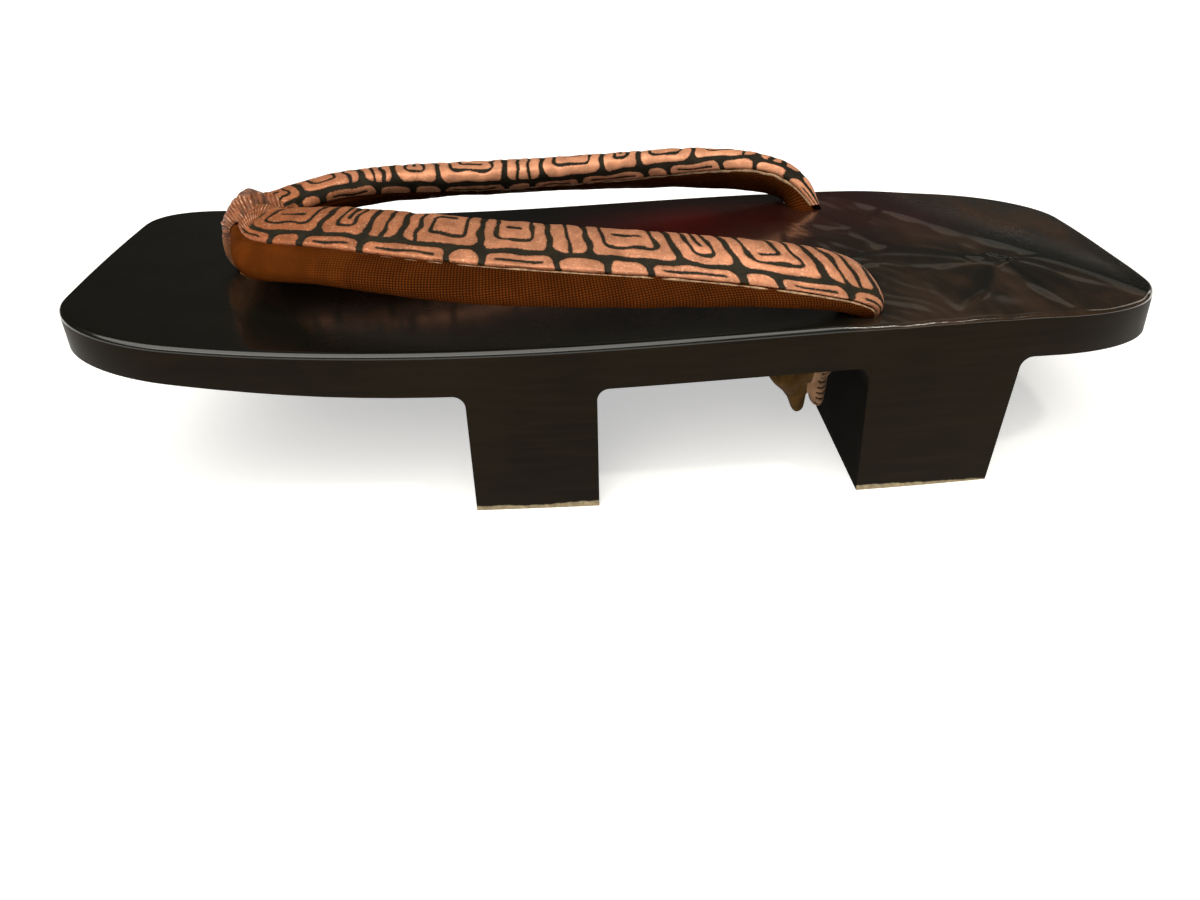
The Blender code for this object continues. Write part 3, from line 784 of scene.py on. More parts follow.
def near_outline():
    """The near half of the plan, from the toe's middle to the heel's middle."""
    toe_wide, heel_wide = float(half_width(0.0)), float(half_width(LENGTH))
    end = np.linspace(0, TOE_END_SHARE, 30)[:-1]
    toe = np.stack([TOE_BULGE * end ** 2, -end * toe_wide], axis=1)
    toe_end = (TOE_BULGE * TOE_END_SHARE ** 2, -TOE_END_SHARE * toe_wide)
    toe_side = (TOE_CORNER, -float(half_width(TOE_CORNER)))
    first = corner_curve(toe_end, (TOE_BULGE, -toe_wide), toe_side, 60)
    x = np.linspace(TOE_CORNER, LENGTH - HEEL_CORNER, 240)[1:-1]
    side = np.stack([x, -half_width(x)], axis=1)
    heel_side = (LENGTH - HEEL_CORNER, -float(half_width(LENGTH - HEEL_CORNER)))
    heel_end = (LENGTH - HEEL_BULGE * HEEL_END_SHARE ** 2, -HEEL_END_SHARE * heel_wide)
    second = corner_curve(heel_side, (LENGTH - HEEL_BULGE, -heel_wide), heel_end, 60)
    end = np.linspace(HEEL_END_SHARE, 0, 30)[1:]
    heel = np.stack([LENGTH - HEEL_BULGE * end ** 2, -end * heel_wide], axis=1)
    return np.concatenate([toe, first, side, second, heel])


def plan_outline(coarse, fine):
    """The whole plan with points fine apart on the carved heel and coarse apart elsewhere."""
    near = near_outline()
    step = np.linalg.norm(np.diff(near, axis=0), axis=1)
    middle = (near[1:, 0] + near[:-1, 0]) / 2
    pace = coarse + (fine - coarse) * smooth(0.150, 0.162, middle)
    count = np.concatenate([[0], np.cumsum(step / pace)])
    at = np.linspace(0, count[-1], int(round(count[-1])) + 1)
    even = np.stack([np.interp(at, count, near[:, k]) for k in (0, 1)], axis=1)
    even[0, 1] = even[-1, 1] = 0.0
    far = even[1:-1][::-1] * (1, -1)
    return np.concatenate([even, far])


def arc_corner(before, corner, after, radius, steps):
    before, corner, after = (np.asarray(p, float) for p in (before, corner, after))
    one = (before - corner) / np.linalg.norm(before - corner)
    two = (after - corner) / np.linalg.norm(after - corner)
    half = math.acos(max(-1.0, min(1.0, float(one @ two)))) / 2
    reach = radius / math.tan(half)
    middle = corner + (one + two) / np.linalg.norm(one + two) * radius / math.sin(half)
    start = corner + one * reach - middle
    end = corner + two * reach - middle
    turn = math.atan2(start[0] * end[1] - start[1] * end[0], float(start @ end))
    points = []
    for t in np.linspace(0, turn, steps + 1):
        c, s = math.cos(t), math.sin(t)
        points.append(middle + np.array([c * start[0] - s * start[1], s * start[0] + c * start[1]]))
    return points


def side_profile(drop):
    """The block seen from the side, its top lowered by drop to leave room for the rounded arris."""
    under = lambda x: float(deck_under(x))
    rear_root = REAR_TOOTH_AT + REAR_TOOTH_ROOT
    front_root = FRONT_TOOTH_AT + FRONT_TOOTH_ROOT
    corners = [(x, float(deck_top(x)) - drop, 0) for x in np.linspace(0, LENGTH, 41)]
    corners += [(LENGTH, under(LENGTH), END_ROUND)]
    corners += [(x, under(x), 0) for x in np.linspace(LENGTH, rear_root, 7)[1:-1]]
    corners += [
        (rear_root, under(rear_root), TOOTH_FILLET),
        (REAR_TOOTH_AT + REAR_TOOTH_FOOT, 0, 0),
        (REAR_TOOTH_AT, 0, 0),
        (REAR_TOOTH_AT, under(REAR_TOOTH_AT), TOOTH_FILLET),
    ]
    corners += [(x, under(x), 0) for x in np.linspace(REAR_TOOTH_AT, front_root, 9)[1:-1]]
    corners += [
        (front_root, under(front_root), TOOTH_FILLET),
        (FRONT_TOOTH_AT + FRONT_TOOTH_FOOT, 0, 0),
        (FRONT_TOOTH_AT, 0, 0),
        (FRONT_TOOTH_AT, under(FRONT_TOOTH_AT), TOOTH_FILLET),
    ]
    corners += [(x, under(x), 0) for x in np.linspace(FRONT_TOOTH_AT, 0, 13)[1:-1]]
    corners += [(0, under(0), END_ROUND)]
    points = []
    for i, (x, z, radius) in enumerate(corners):
        if radius == 0:
            points.append((x, z))
            continue
        after = corners[(i + 1) % len(corners)][:2]
        points += [tuple(p) for p in arc_corner(corners[i - 1][:2], (x, z), after, radius, 8)]
    return [(from_toe(x), z) for x, z in points]


def prism(name, points, depth):
    bm = bmesh.new()
    face = bm.faces.new([bm.verts.new(p) for p in points])
    made = bmesh.ops.extrude_face_region(bm, geom=[face])
    moved = [v for v in made["geom"] if isinstance(v, bmesh.types.BMVert)]
    bmesh.ops.translate(bm, verts=moved, vec=depth)
    bmesh.ops.recalc_face_normals(bm, faces=bm.faces)
    mesh = bpy.data.meshes.new(name)
    bm.to_mesh(mesh)
    bm.free()
    return new_piece(name, mesh)


def carve_local(points, start, end, bend):
    """Positions along and beside a bent line, in its own length and in millimetres."""
    start, end = np.asarray(start), np.asarray(end)
    length = np.linalg.norm(end - start)
    run = (end - start) / length
    side = np.array([-run[1], run[0]])
    away = points - start
    along = away @ run / length
    beside = away @ side - bend * length * 4 * along * (1 - along)
    return along, beside, length


def leaf_relief(points, leaf):
    """Height of one leaf over the ground, and how far a point is inside its edge in millimetres."""
    along, beside, length = carve_local(points, leaf.base, leaf.tip, leaf.bend)
    t = np.clip(along, 0, 1)
    half = leaf.width / 2 * np.sin(math.pi * t ** 0.85) ** 0.8 + 0.3
    over = np.maximum(np.maximum(-along, along - 1), 0) * length
    inside = half - np.hypot(np.abs(beside), 1.4 * over)
    slope = np.clip(beside / half, -1, 1)
    vein = VEIN_DEPTH * np.exp(-(beside / 1.3) ** 2) * smooth(1.0, 0.7, t)
    height = leaf.height * (0.62 + 0.38 * leaf.tilt * slope) * (1 - 0.35 * t) - vein
    return height, inside


def carving(x, y):
    """Relief of the heel in millimetres, for x from the toe end and y in millimetres."""
    points = np.stack([x, y], axis=-1)
    ridge = np.asarray(RIDGE)
    past = y - np.interp(x, ridge[:, 0], ridge[:, 1])
    zone = smooth(2.5, -4.0, past) * smooth(*CARVED_FROM, x) * smooth(*CARVED_TO, x)
    fan = np.hypot(x - BUD_AT[0], y - BUD_AT[1])
    turn = np.arctan2(y - BUD_AT[1], x - BUD_AT[0])
    rays = np.sin(turn * 19.0 + 1.2 * ripple(x / 14, y / 14, 3)) * smooth(8.0, 18.0, fan)
    lines = np.sin(2 * math.pi * (0.80 * x + 0.60 * y + 1.2 * ripple(x / 18, y / 18, 5)) / CHISEL_PITCH)
    mixed = smooth(190.0, 176.0, x)
    height = -GROUND_DEPTH + 0.14 * ripple(x / 11, y / 11, 12)
    height = height + CHISEL_DEPTH * (rays * (1 - mixed) + lines * mixed)
    for stem in STEMS:
        along, beside, length = carve_local(points, stem.start, stem.end, stem.bend)
        over = np.maximum(np.maximum(-along, along - 1), 0) * length
        rib = stem.height * np.exp(-(beside / (0.62 * stem.width)) ** 2) * np.exp(-(over / 2.0) ** 2)
        height = height + rib
    for leaf in LEAVES:
        up, inside = leaf_relief(points, leaf)
        height = height + (up - GROUND_DEPTH - height) * smooth(-1.5, 1.5, inside)
        height = height - GROOVE_DEPTH * np.exp(-((inside + 1.3) / 1.2) ** 2)
    petals = BUD_RADIUS * (0.84 + 0.16 * np.cos(3 * turn + BUD_TURN))
    dome = smooth(petals, petals - 2.0, fan)
    rim = np.exp(-((fan - 0.62 * petals) / 0.9) ** 2) * (0.6 + 0.4 * np.cos(turn - 0.5))
    height = height + dome * (-0.30 + 0.55 * rim - height)
    edge = 0.06 * ripple(x / 12, y / 12, 11) * zone
    lip = LIP_HEIGHT * np.exp(-((past - 1.5) / 2.4) ** 2) * smooth(168.0, 182.0, x) * smooth(236.0, 226.0, x)
    dip = -HEEL_DIP * smooth(3.0, 34.0, past) * smooth(176.0, 212.0, x)
    return height * zone + edge + lip + dip


def carved_height(x, y):
    """How far the deck is cut or raised at x, measured from the toe end, and y, in metres."""
    return carving(np.asarray(x) / MM, np.asarray(y) / MM) * MM


def boundary_loop(bm):
    """Points of the open top in order round the plan, starting at the toe's middle."""
    edges = [e for e in bm.edges if len(e.link_faces) == 1]
    start = min((v for e in edges for v in e.verts), key=lambda v: (v.co.x + 5 * abs(v.co.y)))
    ring, last = [start], None
    while True:
        here = ring[-1]
        ahead = [e.other_vert(here) for e in here.link_edges if len(e.link_faces) == 1]
        if last is None:
            step = min(ahead, key=lambda v: v.co.y)
        else:
            step = ahead[0] if ahead[0] is not last else ahead[1]
        if step is start:
            return ring
        last = here
        ring.append(step)


def block_mesh(block, coarse, fine, rows):
    """The block with a rounded arris and a deck of rings that shrink to its middle line."""
    arris = block.arris
    drop = arris + SHOULDER
    body = prism("block", [(x, -WIDTH, z) for x, z in side_profile(drop)], (0, 2 * WIDTH, 0))
    plan = prism("plan", [(from_toe(x), y, -0.1) for x, y in plan_outline(coarse, fine)], (0, 0, 0.3))
    boolean(body, plan, "INTERSECT")
    bm = bmesh.new()
    bm.from_mesh(body.data)
    bm.normal_update()
    low = DECK_HEIGHT - DECK_THICKNESS * 0.5
    lids = [f for f in bm.faces if f.normal.z > 0.5 and f.calc_center_median().z > low]
    bmesh.ops.delete(bm, geom=lids, context="FACES")
    sharp = [e for e in bm.edges if len(e.link_faces) == 2 and e.calc_face_angle() > math.radians(50)]
    bmesh.ops.bevel(bm, geom=sharp, offset=block.foot_edge, offset_type="OFFSET", segments=3, profile=0.5,
                    affect="EDGES", clamp_overlap=True)
    ring = boundary_loop(bm)
    rim = np.array([v.co for v in ring])
    x, y = rim[:, 0] + LENGTH / 2, rim[:, 1]
    ahead = np.roll(rim, -1, axis=0) - np.roll(rim, 1, axis=0)
    normal = np.stack([ahead[:, 1], -ahead[:, 0]], axis=1)
    normal /= np.linalg.norm(normal, axis=1)[:, None]
    step = np.linalg.norm(np.diff(np.concatenate([rim, rim[:1]]), axis=0)[:, :2], axis=1)
    round_trip = np.concatenate([[0], np.cumsum(step)[:-1]]) / step.sum()
    share = 1 - np.abs(2 * round_trip - 1)
    spine = SPINE_INSET + (LENGTH - SPINE_INSET - SPINE_INSET) * share

    layers = []
    for angle in np.linspace(0, math.pi / 2, 9):
        inset = arris * (1 - math.cos(angle))
        px, py = x - normal[:, 0] * inset, y - normal[:, 1] * inset
        soft = math.sin(angle)
        z = deck_top(px) - arris * (1 - soft) + carved_height(px, py) * (0.35 + 0.65 * soft)
        layers.append(np.stack([from_toe(px), py, z], axis=1))
    edge_x, edge_y = x - normal[:, 0] * arris, y - normal[:, 1] * arris
    for t in (np.arange(1, rows + 1) / rows) ** 1.04:
        px = edge_x + (spine - edge_x) * t
        py = edge_y * (1 - t)
        z = deck_top(np.clip(px, 0, LENGTH)) + carved_height(px, py)
        layers.append(np.stack([from_toe(px), py, z], axis=1))
    previous = ring
    top_faces = []
    for row, layer in enumerate(layers):
        current = [bm.verts.new(p) for p in layer]
        for k in range(len(ring)):
            n = (k + 1) % len(ring)
            face = bm.faces.new((previous[k], previous[n], current[n], current[k]))
            if row > 0:
                top_faces.append(face)
        previous = current
    for face in bm.faces:
        face.material_index = 1
    for face in top_faces:
        face.material_index = 0
    bmesh.ops.remove_doubles(bm, verts=previous, dist=0.00002)
    bmesh.ops.recalc_face_normals(bm, faces=bm.faces)
    bm.to_mesh(body.data)
    bm.free()
    return body


def make_block(block):
    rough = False
    body = block_mesh(block, 0.0016, 0.0011 if rough else 0.0006, 48 if rough else 84)
    body.name = body.data.name = "lacquered_block"
    room = new_piece("strap_room", tube_mesh("strap_room", strap_body(151, 48, HOLE_CLEARANCE)))
    for material in (deck_lacquer(block), side_lacquer(block)):
        body.data.materials.append(material)
    boolean(body, room, "DIFFERENCE")
    bpy.ops.mesh.primitive_cylinder_add(
        vertices=48, radius=STEM_RADIUS + HOLE_CLEARANCE, depth=4 * DECK_THICKNESS,
        location=(from_toe(STEM_AT), 0, float(deck_under(STEM_AT))),
    )
    boolean(body, bpy.context.object, "DIFFERENCE")
    mesh = body.data
    points = coordinates(mesh)
    on_top = points[:, 2] > DECK_HEIGHT - 0.004
    cut = np.abs(carving(points[:, 0] / MM + LENGTH / 2 / MM, points[:, 1] / MM)) / GROUND_DEPTH
    set_attribute(mesh, "carved", np.clip(cut, 0, 1) * on_top)
    shade(mesh, 38)
    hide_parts("platform")
    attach(body, "root")
    return body


# Strap


def arm_columns(along):
    """The strap's table at shares from -1 (near hole) over 0 (toe fold) to 1 (far hole)."""
    far = column(STRAP, "along")
    knots = [-k for k in far[:0:-1]] + far
    values = {}
    for name in STRAP[0]._fields[1:]:
        one = column(STRAP, name)
        sign = -1 if name.endswith("_y") else 1
        values[name] = spline(knots, [sign * v for v in one[:0:-1]] + one, along)
    return values


def strap_edges(at):
    table = arm_columns(at)
    skew = np.sign(at) * STRAP_SKEW * at ** 2
    lines = []
    for side in ("outer", "inner"):
        x = STRAP_FRONT + STRAP_REACH * table[side + "_x"] + skew
        y = STRAP_SPREAD * table[side + "_y"]
        z = deck_top(x) + STRAP_RISE * table[side + "_z"]
        lines.append(np.stack([from_toe(x), y, z], axis=1))
    return lines[0], lines[1], table


StrapFrame = namedtuple("StrapFrame", "middle across up half thick cover_outer cover_inner")


def strap_frame(along):
    """Middle, directions and half sizes of the strap's section at each share."""
    nudge = 1e-4
    outer, inner, table = strap_edges(along)
    ahead = strap_edges(np.minimum(along + nudge, 1.0))[:2]
    behind = strap_edges(np.maximum(along - nudge, -1.0))[:2]
    run = sum(ahead) - sum(behind)
    run /= np.linalg.norm(run, axis=1)[:, None]
    across = (outer - inner) / 2
    half = np.linalg.norm(across, axis=1)
    across /= half[:, None]
    up = np.cross(run, across)
    up /= np.linalg.norm(up, axis=1)[:, None]
    thick = STRAP_THICKNESS / 2 * table["thickness"]
    edges = (np.radians(table[k]) for k in ("cover_outer", "cover_inner"))
    return StrapFrame((outer + inner) / 2, across, up, half, thick, *edges)


def section(strap, angles, inset):
    """Points of the sections at the angles of each station, moved inwards by inset."""
    power = 2 / STRAP_FULLNESS
    c, s = np.cos(angles), np.sin(angles)
    wide = (strap.half[:, None] - inset) * np.sign(c) * np.abs(c) ** power
    high = (strap.thick[:, None] - inset) * np.sign(s) * np.abs(s) ** power
    aside = wide[..., None] * strap.across[:, None]
    return strap.middle[:, None] + aside + high[..., None] * strap.up[:, None]


def even_stations(count):
    """Shares along the strap that are evenly far apart, and their distance from the toe fold."""
    at = np.linspace(-1, 1, 2001)
    length = travelled(strap_frame(at).middle)
    length -= np.interp(0, at, length)
    ends = np.interp([-COVER_END, COVER_END], at, length)
    wanted = np.linspace(ends[0], ends[1], count)
    return np.interp(wanted, length, at), wanted


def even_angles(strap, count):
    """Angles of the cover's arc that are evenly far apart, and the distance from its outer edge."""
    share = np.linspace(0, 1, 121)
    angles = strap.cover_outer[:, None] + (strap.cover_inner - strap.cover_outer)[:, None] * share
    length = travelled(section(strap, angles, 0.0))
    wanted = np.linspace(0, 1, count) * length[:, -1:]
    return np.array([np.interp(*row) for row in zip(wanted, length, angles)]), wanted


def neck_end(side):
    y = strap_frame(np.array([float(side)])).middle[0][1] - side * NECK_INSET
    x = REAR_TOOTH_AT - NECK_SETBACK
    return np.array([from_toe(x), y, float(deck_under(x))])


def neck_rings(side, extra, angles):
    """Rings that take a strap end from its last section down its sloping hole."""
    strap = strap_frame(np.array([float(side)]))
    middle, across, up = strap.middle[0], strap.across[0], strap.up[0]
    end = neck_end(side)
    radius = NECK_RADIUS + NECK_ROOM_SHARE * extra
    rings = []
    for share in (0.5, 1.0, 1.3) if extra else (0.5, 1.0):
        centre = middle + (end - middle) * share
        turned = min(share, 1.0)
        sideways = across * (1 - turned) + np.array([0.0, float(side), 0.0]) * turned
        forward = up * (1 - turned) + np.array([1.0, 0.0, 0.0]) * turned
        sideways /= np.linalg.norm(sideways)
        forward /= np.linalg.norm(forward)
        round_it = np.cos(angles)[:, None] * sideways + np.sin(angles)[:, None] * forward
        rings.append(centre + radius * round_it)
    return rings


def strap_body(count, sides, extra):
    """Rings of the whole strap swollen by extra, with its necks."""
    at, _ = even_stations(count)
    along = np.concatenate([[-1.0], at, [1.0]])
    angles = whole_turn(sides)
    rings = section(strap_frame(along), np.tile(angles, (len(along), 1)), -extra)
    return np.array(neck_rings(-1, extra, angles)[::-1] + list(rings) + neck_rings(1, extra, angles))


def patch_depth(s, t, low_s, high_s, low_t, high_t):
    """Distance inside a patch with round corners, negative outside it."""
    corner = min(PATCH_CORNER, (high_s - low_s) / 2, (high_t - low_t) / 2)
    qs = np.abs(s - (low_s + high_s) / 2) - (high_s - low_s) / 2 + corner
    qt = np.abs(t - (low_t + high_t) / 2) - (high_t - low_t) / 2 + corner
    return corner - np.hypot(np.maximum(qs, 0), np.maximum(qt, 0)) - np.minimum(np.maximum(qs, qt), 0)


def line_distance(s, t, points):
    """Distance to a chain of straight lines."""
    best = np.full(s.shape, 1e3)
    for (a, b), (c, d) in zip(points, points[1:]):
        span = (c - a) ** 2 + (d - b) ** 2
        share = np.clip(((s - a) * (c - a) + (t - b) * (d - b)) / span, 0, 1)
        best = np.minimum(best, np.hypot(s - a - share * (c - a), t - b - share * (d - b)))
    return best


def round_chain(points):
    """A chain of straight lines with its corners rounded."""
    chain = [points[0]]
    for before, corner, after in zip(points, points[1:], points[2:]):
        chain += [tuple(p) for p in arc_corner(before, corner, after, LINE_CORNER, 4)]
    return chain + [points[-1]]


def motif_lines(motif, length, wide, flipped):
    """Inked lines inside a patch of a length and width, from its middle."""
    a, b = length / 2, wide / 2
    band = BAND
    if motif == "hook":
        lines = [[
            (-a + band, -b), (-a + band, b - band), (a - band, b - band), (a - band, -b + band),
            (-a + 2.0 * band, -b + band), (-a + 2.0 * band, b - 2.0 * band), (a - 2.0 * band, b - 2.0 * band),
        ]]
    elif motif == "nest":
        lines = [
            [(-a + 2.2 * band, -b + band), (a - band, -b + band), (a - band, b - band), (-a + band, b - band),
             (-a + band, -b + band), (-a + 1.7 * band, -b + band)],
            [(-a + 2.0 * band, 0.4), (a - 2.0 * band, 0.4)],
        ]
    elif motif == "gate":
        lines = [[(-a + band, b), (-a + band, -b + band), (a - band, -b + band), (a - band, b)],
                 [(0.0, b - 1.8), (0.0, -b + 2.0 * band)]]
    else:
        count = max(2, int(round(length / BAND)))
        edges = [-a + length * k / count for k in range(1, count)]
        lines = [[(e, -b - 1.0), (e, b + 1.0)] for e in edges]
    lines = [round_chain(line) for line in lines]
    return [[(-p, -q) for p, q in line] for line in lines] if flipped else lines


def print_chart(s, t, width, line):
    """Depth inside the foil patches in millimetres, negative on the ink."""
    scaled = t * PRINT_WIDTH / width
    s = s + 0.22 * ripple(s / 4.6, t / 4.6, 21)
    t = scaled + 0.20 * ripple(s / 4.8, t / 4.8, 22)
    depth = np.full(s.shape, -1.0)
    box_low, box_high = TAB_WIDTH + CHANNEL, PRINT_WIDTH - TAB_WIDTH - CHANNEL
    middle = (box_low + box_high) / 2
    for sign, cells in ((-1, NEAR_CELLS), (1, FAR_CELLS)):
        start = -2.0
        for k, cell in enumerate(cells):
            end = start + cell.length
            here = (s * sign >= start - 0.6) & (s * sign < end + 0.6)
            u, v = s[here] * sign, t[here]
            if u.size:
                gap = CHANNEL / 2
                inside = patch_depth(u, v, start + gap, end - gap, box_low, box_high)
                pen = line * (1.0 + 0.22 * ripple(u / 5.0, v / 5.0, 23))
                centre = (start + end) / 2
                for chain in motif_lines(cell.motif, cell.length - CHANNEL, box_high - box_low, k % 2 == 1):
                    moved = [(p + centre, q + middle) for p, q in chain]
                    inside = np.minimum(inside, line_distance(u, v, moved) - pen)
                depth[here] = np.maximum(depth[here], inside)
            start = end
        for row, (low, high) in enumerate(((0.0, TAB_WIDTH), (PRINT_WIDTH - TAB_WIDTH, PRINT_WIDTH))):
            start = -3.0 - 2.5 * row
            for k in range(40):
                end = start + TAB_LENGTHS[(k + 3 * row + (sign > 0)) % len(TAB_LENGTHS)]
                here = (s * sign >= start - 0.6) & (s * sign < end + 0.6)
                u, v = s[here] * sign, t[here]
                if u.size:
                    reach = (low - 2.5, high) if row == 0 else (low, high + 2.5)
                    inside = patch_depth(u, v, start + CHANNEL / 2, end - CHANNEL / 2, *reach)
                    if end - start > 10.0:
                        across = (low + high) / 2
                        bar = [(start + 3.0, across), (end - 3.0, across)]
                        inside = np.minimum(inside, line_distance(u, v, bar) - 0.7 * line)
                    depth[here] = np.maximum(depth[here], inside)
                start = end
    return depth


def fold_creases(s, share):
    """Soft creases of the face where it is drawn together behind the toe loop, up to 1 deep."""
    near = np.exp(-(np.abs(s) / 15.0) ** 2)
    rays = np.sin(2 * math.pi * (share * 5.5 + 0.03 * np.abs(s))) * np.exp(-((share - 0.75) / 0.35) ** 2)
    return np.maximum(near * rays, 0)


def make_strap_face(strap, loop):
    stations, arcs = ((841, 61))
    at, length = even_stations(stations)
    shape = strap_frame(at)
    angles, across = even_angles(shape, arcs)
    s = np.repeat(length[:, None] / MM, arcs, axis=1)
    t = across / MM
    width = t[:, -1:]
    depth = print_chart(s, t, width, strap.line)
    share = t / width
    beside, above = toward_fan(section(shape, angles, 0.0))
    wrapped = wrapped_by_hood(s, share)
    raised = strap.relief * smooth(-0.12, 0.15, depth) - CREASE_DEPTH * fold_creases(s, share)
    raised = raised * (1 - wrapped) + HOOD_CLOTH * wrapped
    raised = raised + FACE_RIPPLE * ripple(s / 6.0, t / 6.0, 31)
    edge = np.minimum(t, width - t)
    rolled = 0.0009 * (1 - np.sqrt(1 - (1 - np.clip(edge / 0.9, 0, 1)) ** 2))
    outside = section(shape, angles, rolled - raised)
    inner_angles = np.linspace(0, 1, 9)[None] * (shape.cover_inner - shape.cover_outer)[:, None]
    inner_angles = (shape.cover_outer[:, None] + inner_angles)[:, ::-1]
    inside = section(shape, inner_angles, COVER_WALL)
    rings = np.concatenate([outside, inside], axis=1)
    mesh = tube_mesh("strap_face", rings)
    inner = np.full((stations, 9), -1.0)
    inner[[0, -1]] = 0.5
    set_attribute(mesh, "print_depth", np.concatenate([depth, inner], axis=1), (0.5, 0.5))
    # The rays of the hood's pleats, which the hood's cloth on the face turns into painted pleat shade and
    # highlights
    hidden = np.zeros((stations, 9))
    for name, shown in (("wrapped", wrapped), ("ray", np.arctan2(-above, -beside))):
        set_attribute(mesh, name, np.concatenate([shown, hidden], axis=1), (0.0, 0.0))
    piece = new_piece("printed_face", mesh, print_finish(strap, loop), 60)
    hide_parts("strap_face")
    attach(piece, "root")
    return piece


def make_strap_lining(strap):
    stations, bare, hidden = ((601, 97, 11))
    at, length = even_stations(stations)
    at = np.concatenate([[-1.0], at, [1.0]])
    length = np.concatenate([[length[0] - 0.004], length, [length[-1] + 0.004]])
    shape = strap_frame(at)
    outer, inner = shape.cover_outer, shape.cover_inner
    step_out = LAYER_GAP / np.hypot(shape.half * np.sin(outer), shape.thick * np.cos(outer))
    step_in = LAYER_GAP / np.hypot(shape.half * np.sin(inner), shape.thick * np.cos(inner))
    start, end = outer - 0.2 * step_out, inner + 0.2 * step_in
    free = end[:, None] + (start + 2 * math.pi - end)[:, None] * np.linspace(0, 1, bare)
    under = start[:, None] + (end - start)[:, None] * np.linspace(0, 1, hidden + 2)[1:-1]
    s = np.repeat(length[:, None] / MM, bare, axis=1)
    girth = travelled(section(shape, free, 0.0)) / MM
    edge = np.minimum(girth, girth[:, -1:] - girth)
    seam = SEAM_HEIGHT * np.exp(-(edge / 0.55) ** 2)
    sag = 0.00007 * ripple(s / 11.0, girth / 8.0, 41) + 0.00004 * ripple(s / 4.5, girth / 16.0, 42)
    outside = section(shape, free, seam - sag * smooth(0.0, 3.0, edge))
    hidden_part = section(shape, under, COVER_WALL + LAYER_GAP)
    rings = np.concatenate([outside, hidden_part], axis=1)
    columns = rings.shape[1]
    all_angles = np.concatenate([free, under + 2 * math.pi], axis=1)
    necks = [neck_rings(side, 0.0, all_angles[0 if side < 0 else -1]) for side in (-1, 1)]
    rings = np.concatenate([np.array(necks[0][::-1]), rings, np.array(necks[1])])
    mesh = tube_mesh("strap_lining", rings)
    before = [length[0] - 0.014, length[0] - 0.007]
    after = [length[-1] + 0.007, length[-1] + 0.014]
    u = np.concatenate([before, length, after]) / MM
    around = np.concatenate([girth, np.repeat(girth[:, -1:], hidden, axis=1)], axis=1)
    around = np.concatenate([around[:1], around[:1], around, around[-1:], around[-1:]])
    uv = np.stack([np.repeat(u[:, None], columns, axis=1), around], axis=2).reshape(-1, 2)
    set_uv(mesh, np.concatenate([uv, [uv[0], uv[-1]]]))
    set_attribute(mesh, "weave", smooth(22.0, 50.0, np.abs(uv[:, 0])), (1.0, 1.0))
    piece = new_piece("strap_lining_cloth", mesh, lining_finish(strap), 60)
    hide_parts("strap_lining")
    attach(piece, "root")
    return piece


def edging_tree(material):
    """Geometry nodes that sweep a round cord along a line, as thick as the line's own width says."""
    tree = bpy.data.node_groups.new("edging_sweep", "GeometryNodeTree")
    tree.interface.new_socket("Geometry", in_out="INPUT", socket_type="NodeSocketGeometry")
    thick = tree.interface.new_socket("Thickness", in_out="INPUT", socket_type="NodeSocketFloat")
    tree.interface.new_socket("Geometry", in_out="OUTPUT", socket_type="NodeSocketGeometry")
    source, sink = tree.nodes.new("NodeGroupInput"), tree.nodes.new("NodeGroupOutput")
    curve = tree.nodes.new("GeometryNodeMeshToCurve")
    width = tree.nodes.new("GeometryNodeInputNamedAttribute")
    width.data_type = "FLOAT"
    width.inputs["Name"].default_value = "width"
    radius = tree.nodes.new("GeometryNodeSetCurveRadius")
    profile = tree.nodes.new("GeometryNodeCurvePrimitiveCircle")
    profile.inputs["Resolution"].default_value = 8
    half = tree.nodes.new("ShaderNodeMath")
    half.operation = "MULTIPLY"
    half.inputs[1].default_value = 0.5
    sweep = tree.nodes.new("GeometryNodeCurveToMesh")
    sweep.inputs["Fill Caps"].default_value = True
    real = tree.nodes.new("GeometryNodeRealizeInstances")
    paint = tree.nodes.new("GeometryNodeSetMaterial")
    paint.inputs["Material"].default_value = material
    link = tree.links.new
    link(source.outputs["Geometry"], curve.inputs["Mesh"])
    link(curve.outputs[0], radius.inputs["Curve"])
    link(width.outputs["Attribute"], radius.inputs["Radius"])
    link(source.outputs["Thickness"], half.inputs[0])
    link(half.outputs[0], profile.inputs["Radius"])
    link(radius.outputs[0], sweep.inputs["Curve"])
    link(profile.outputs[0], sweep.inputs["Profile Curve"])
    if "Scale" in sweep.inputs:
        link(width.outputs["Attribute"], sweep.inputs["Scale"])
    link(sweep.outputs[0], real.inputs[0])
    link(real.outputs[0], paint.inputs["Geometry"])
    link(paint.outputs[0], sink.inputs[0])
    return tree, thick.identifier


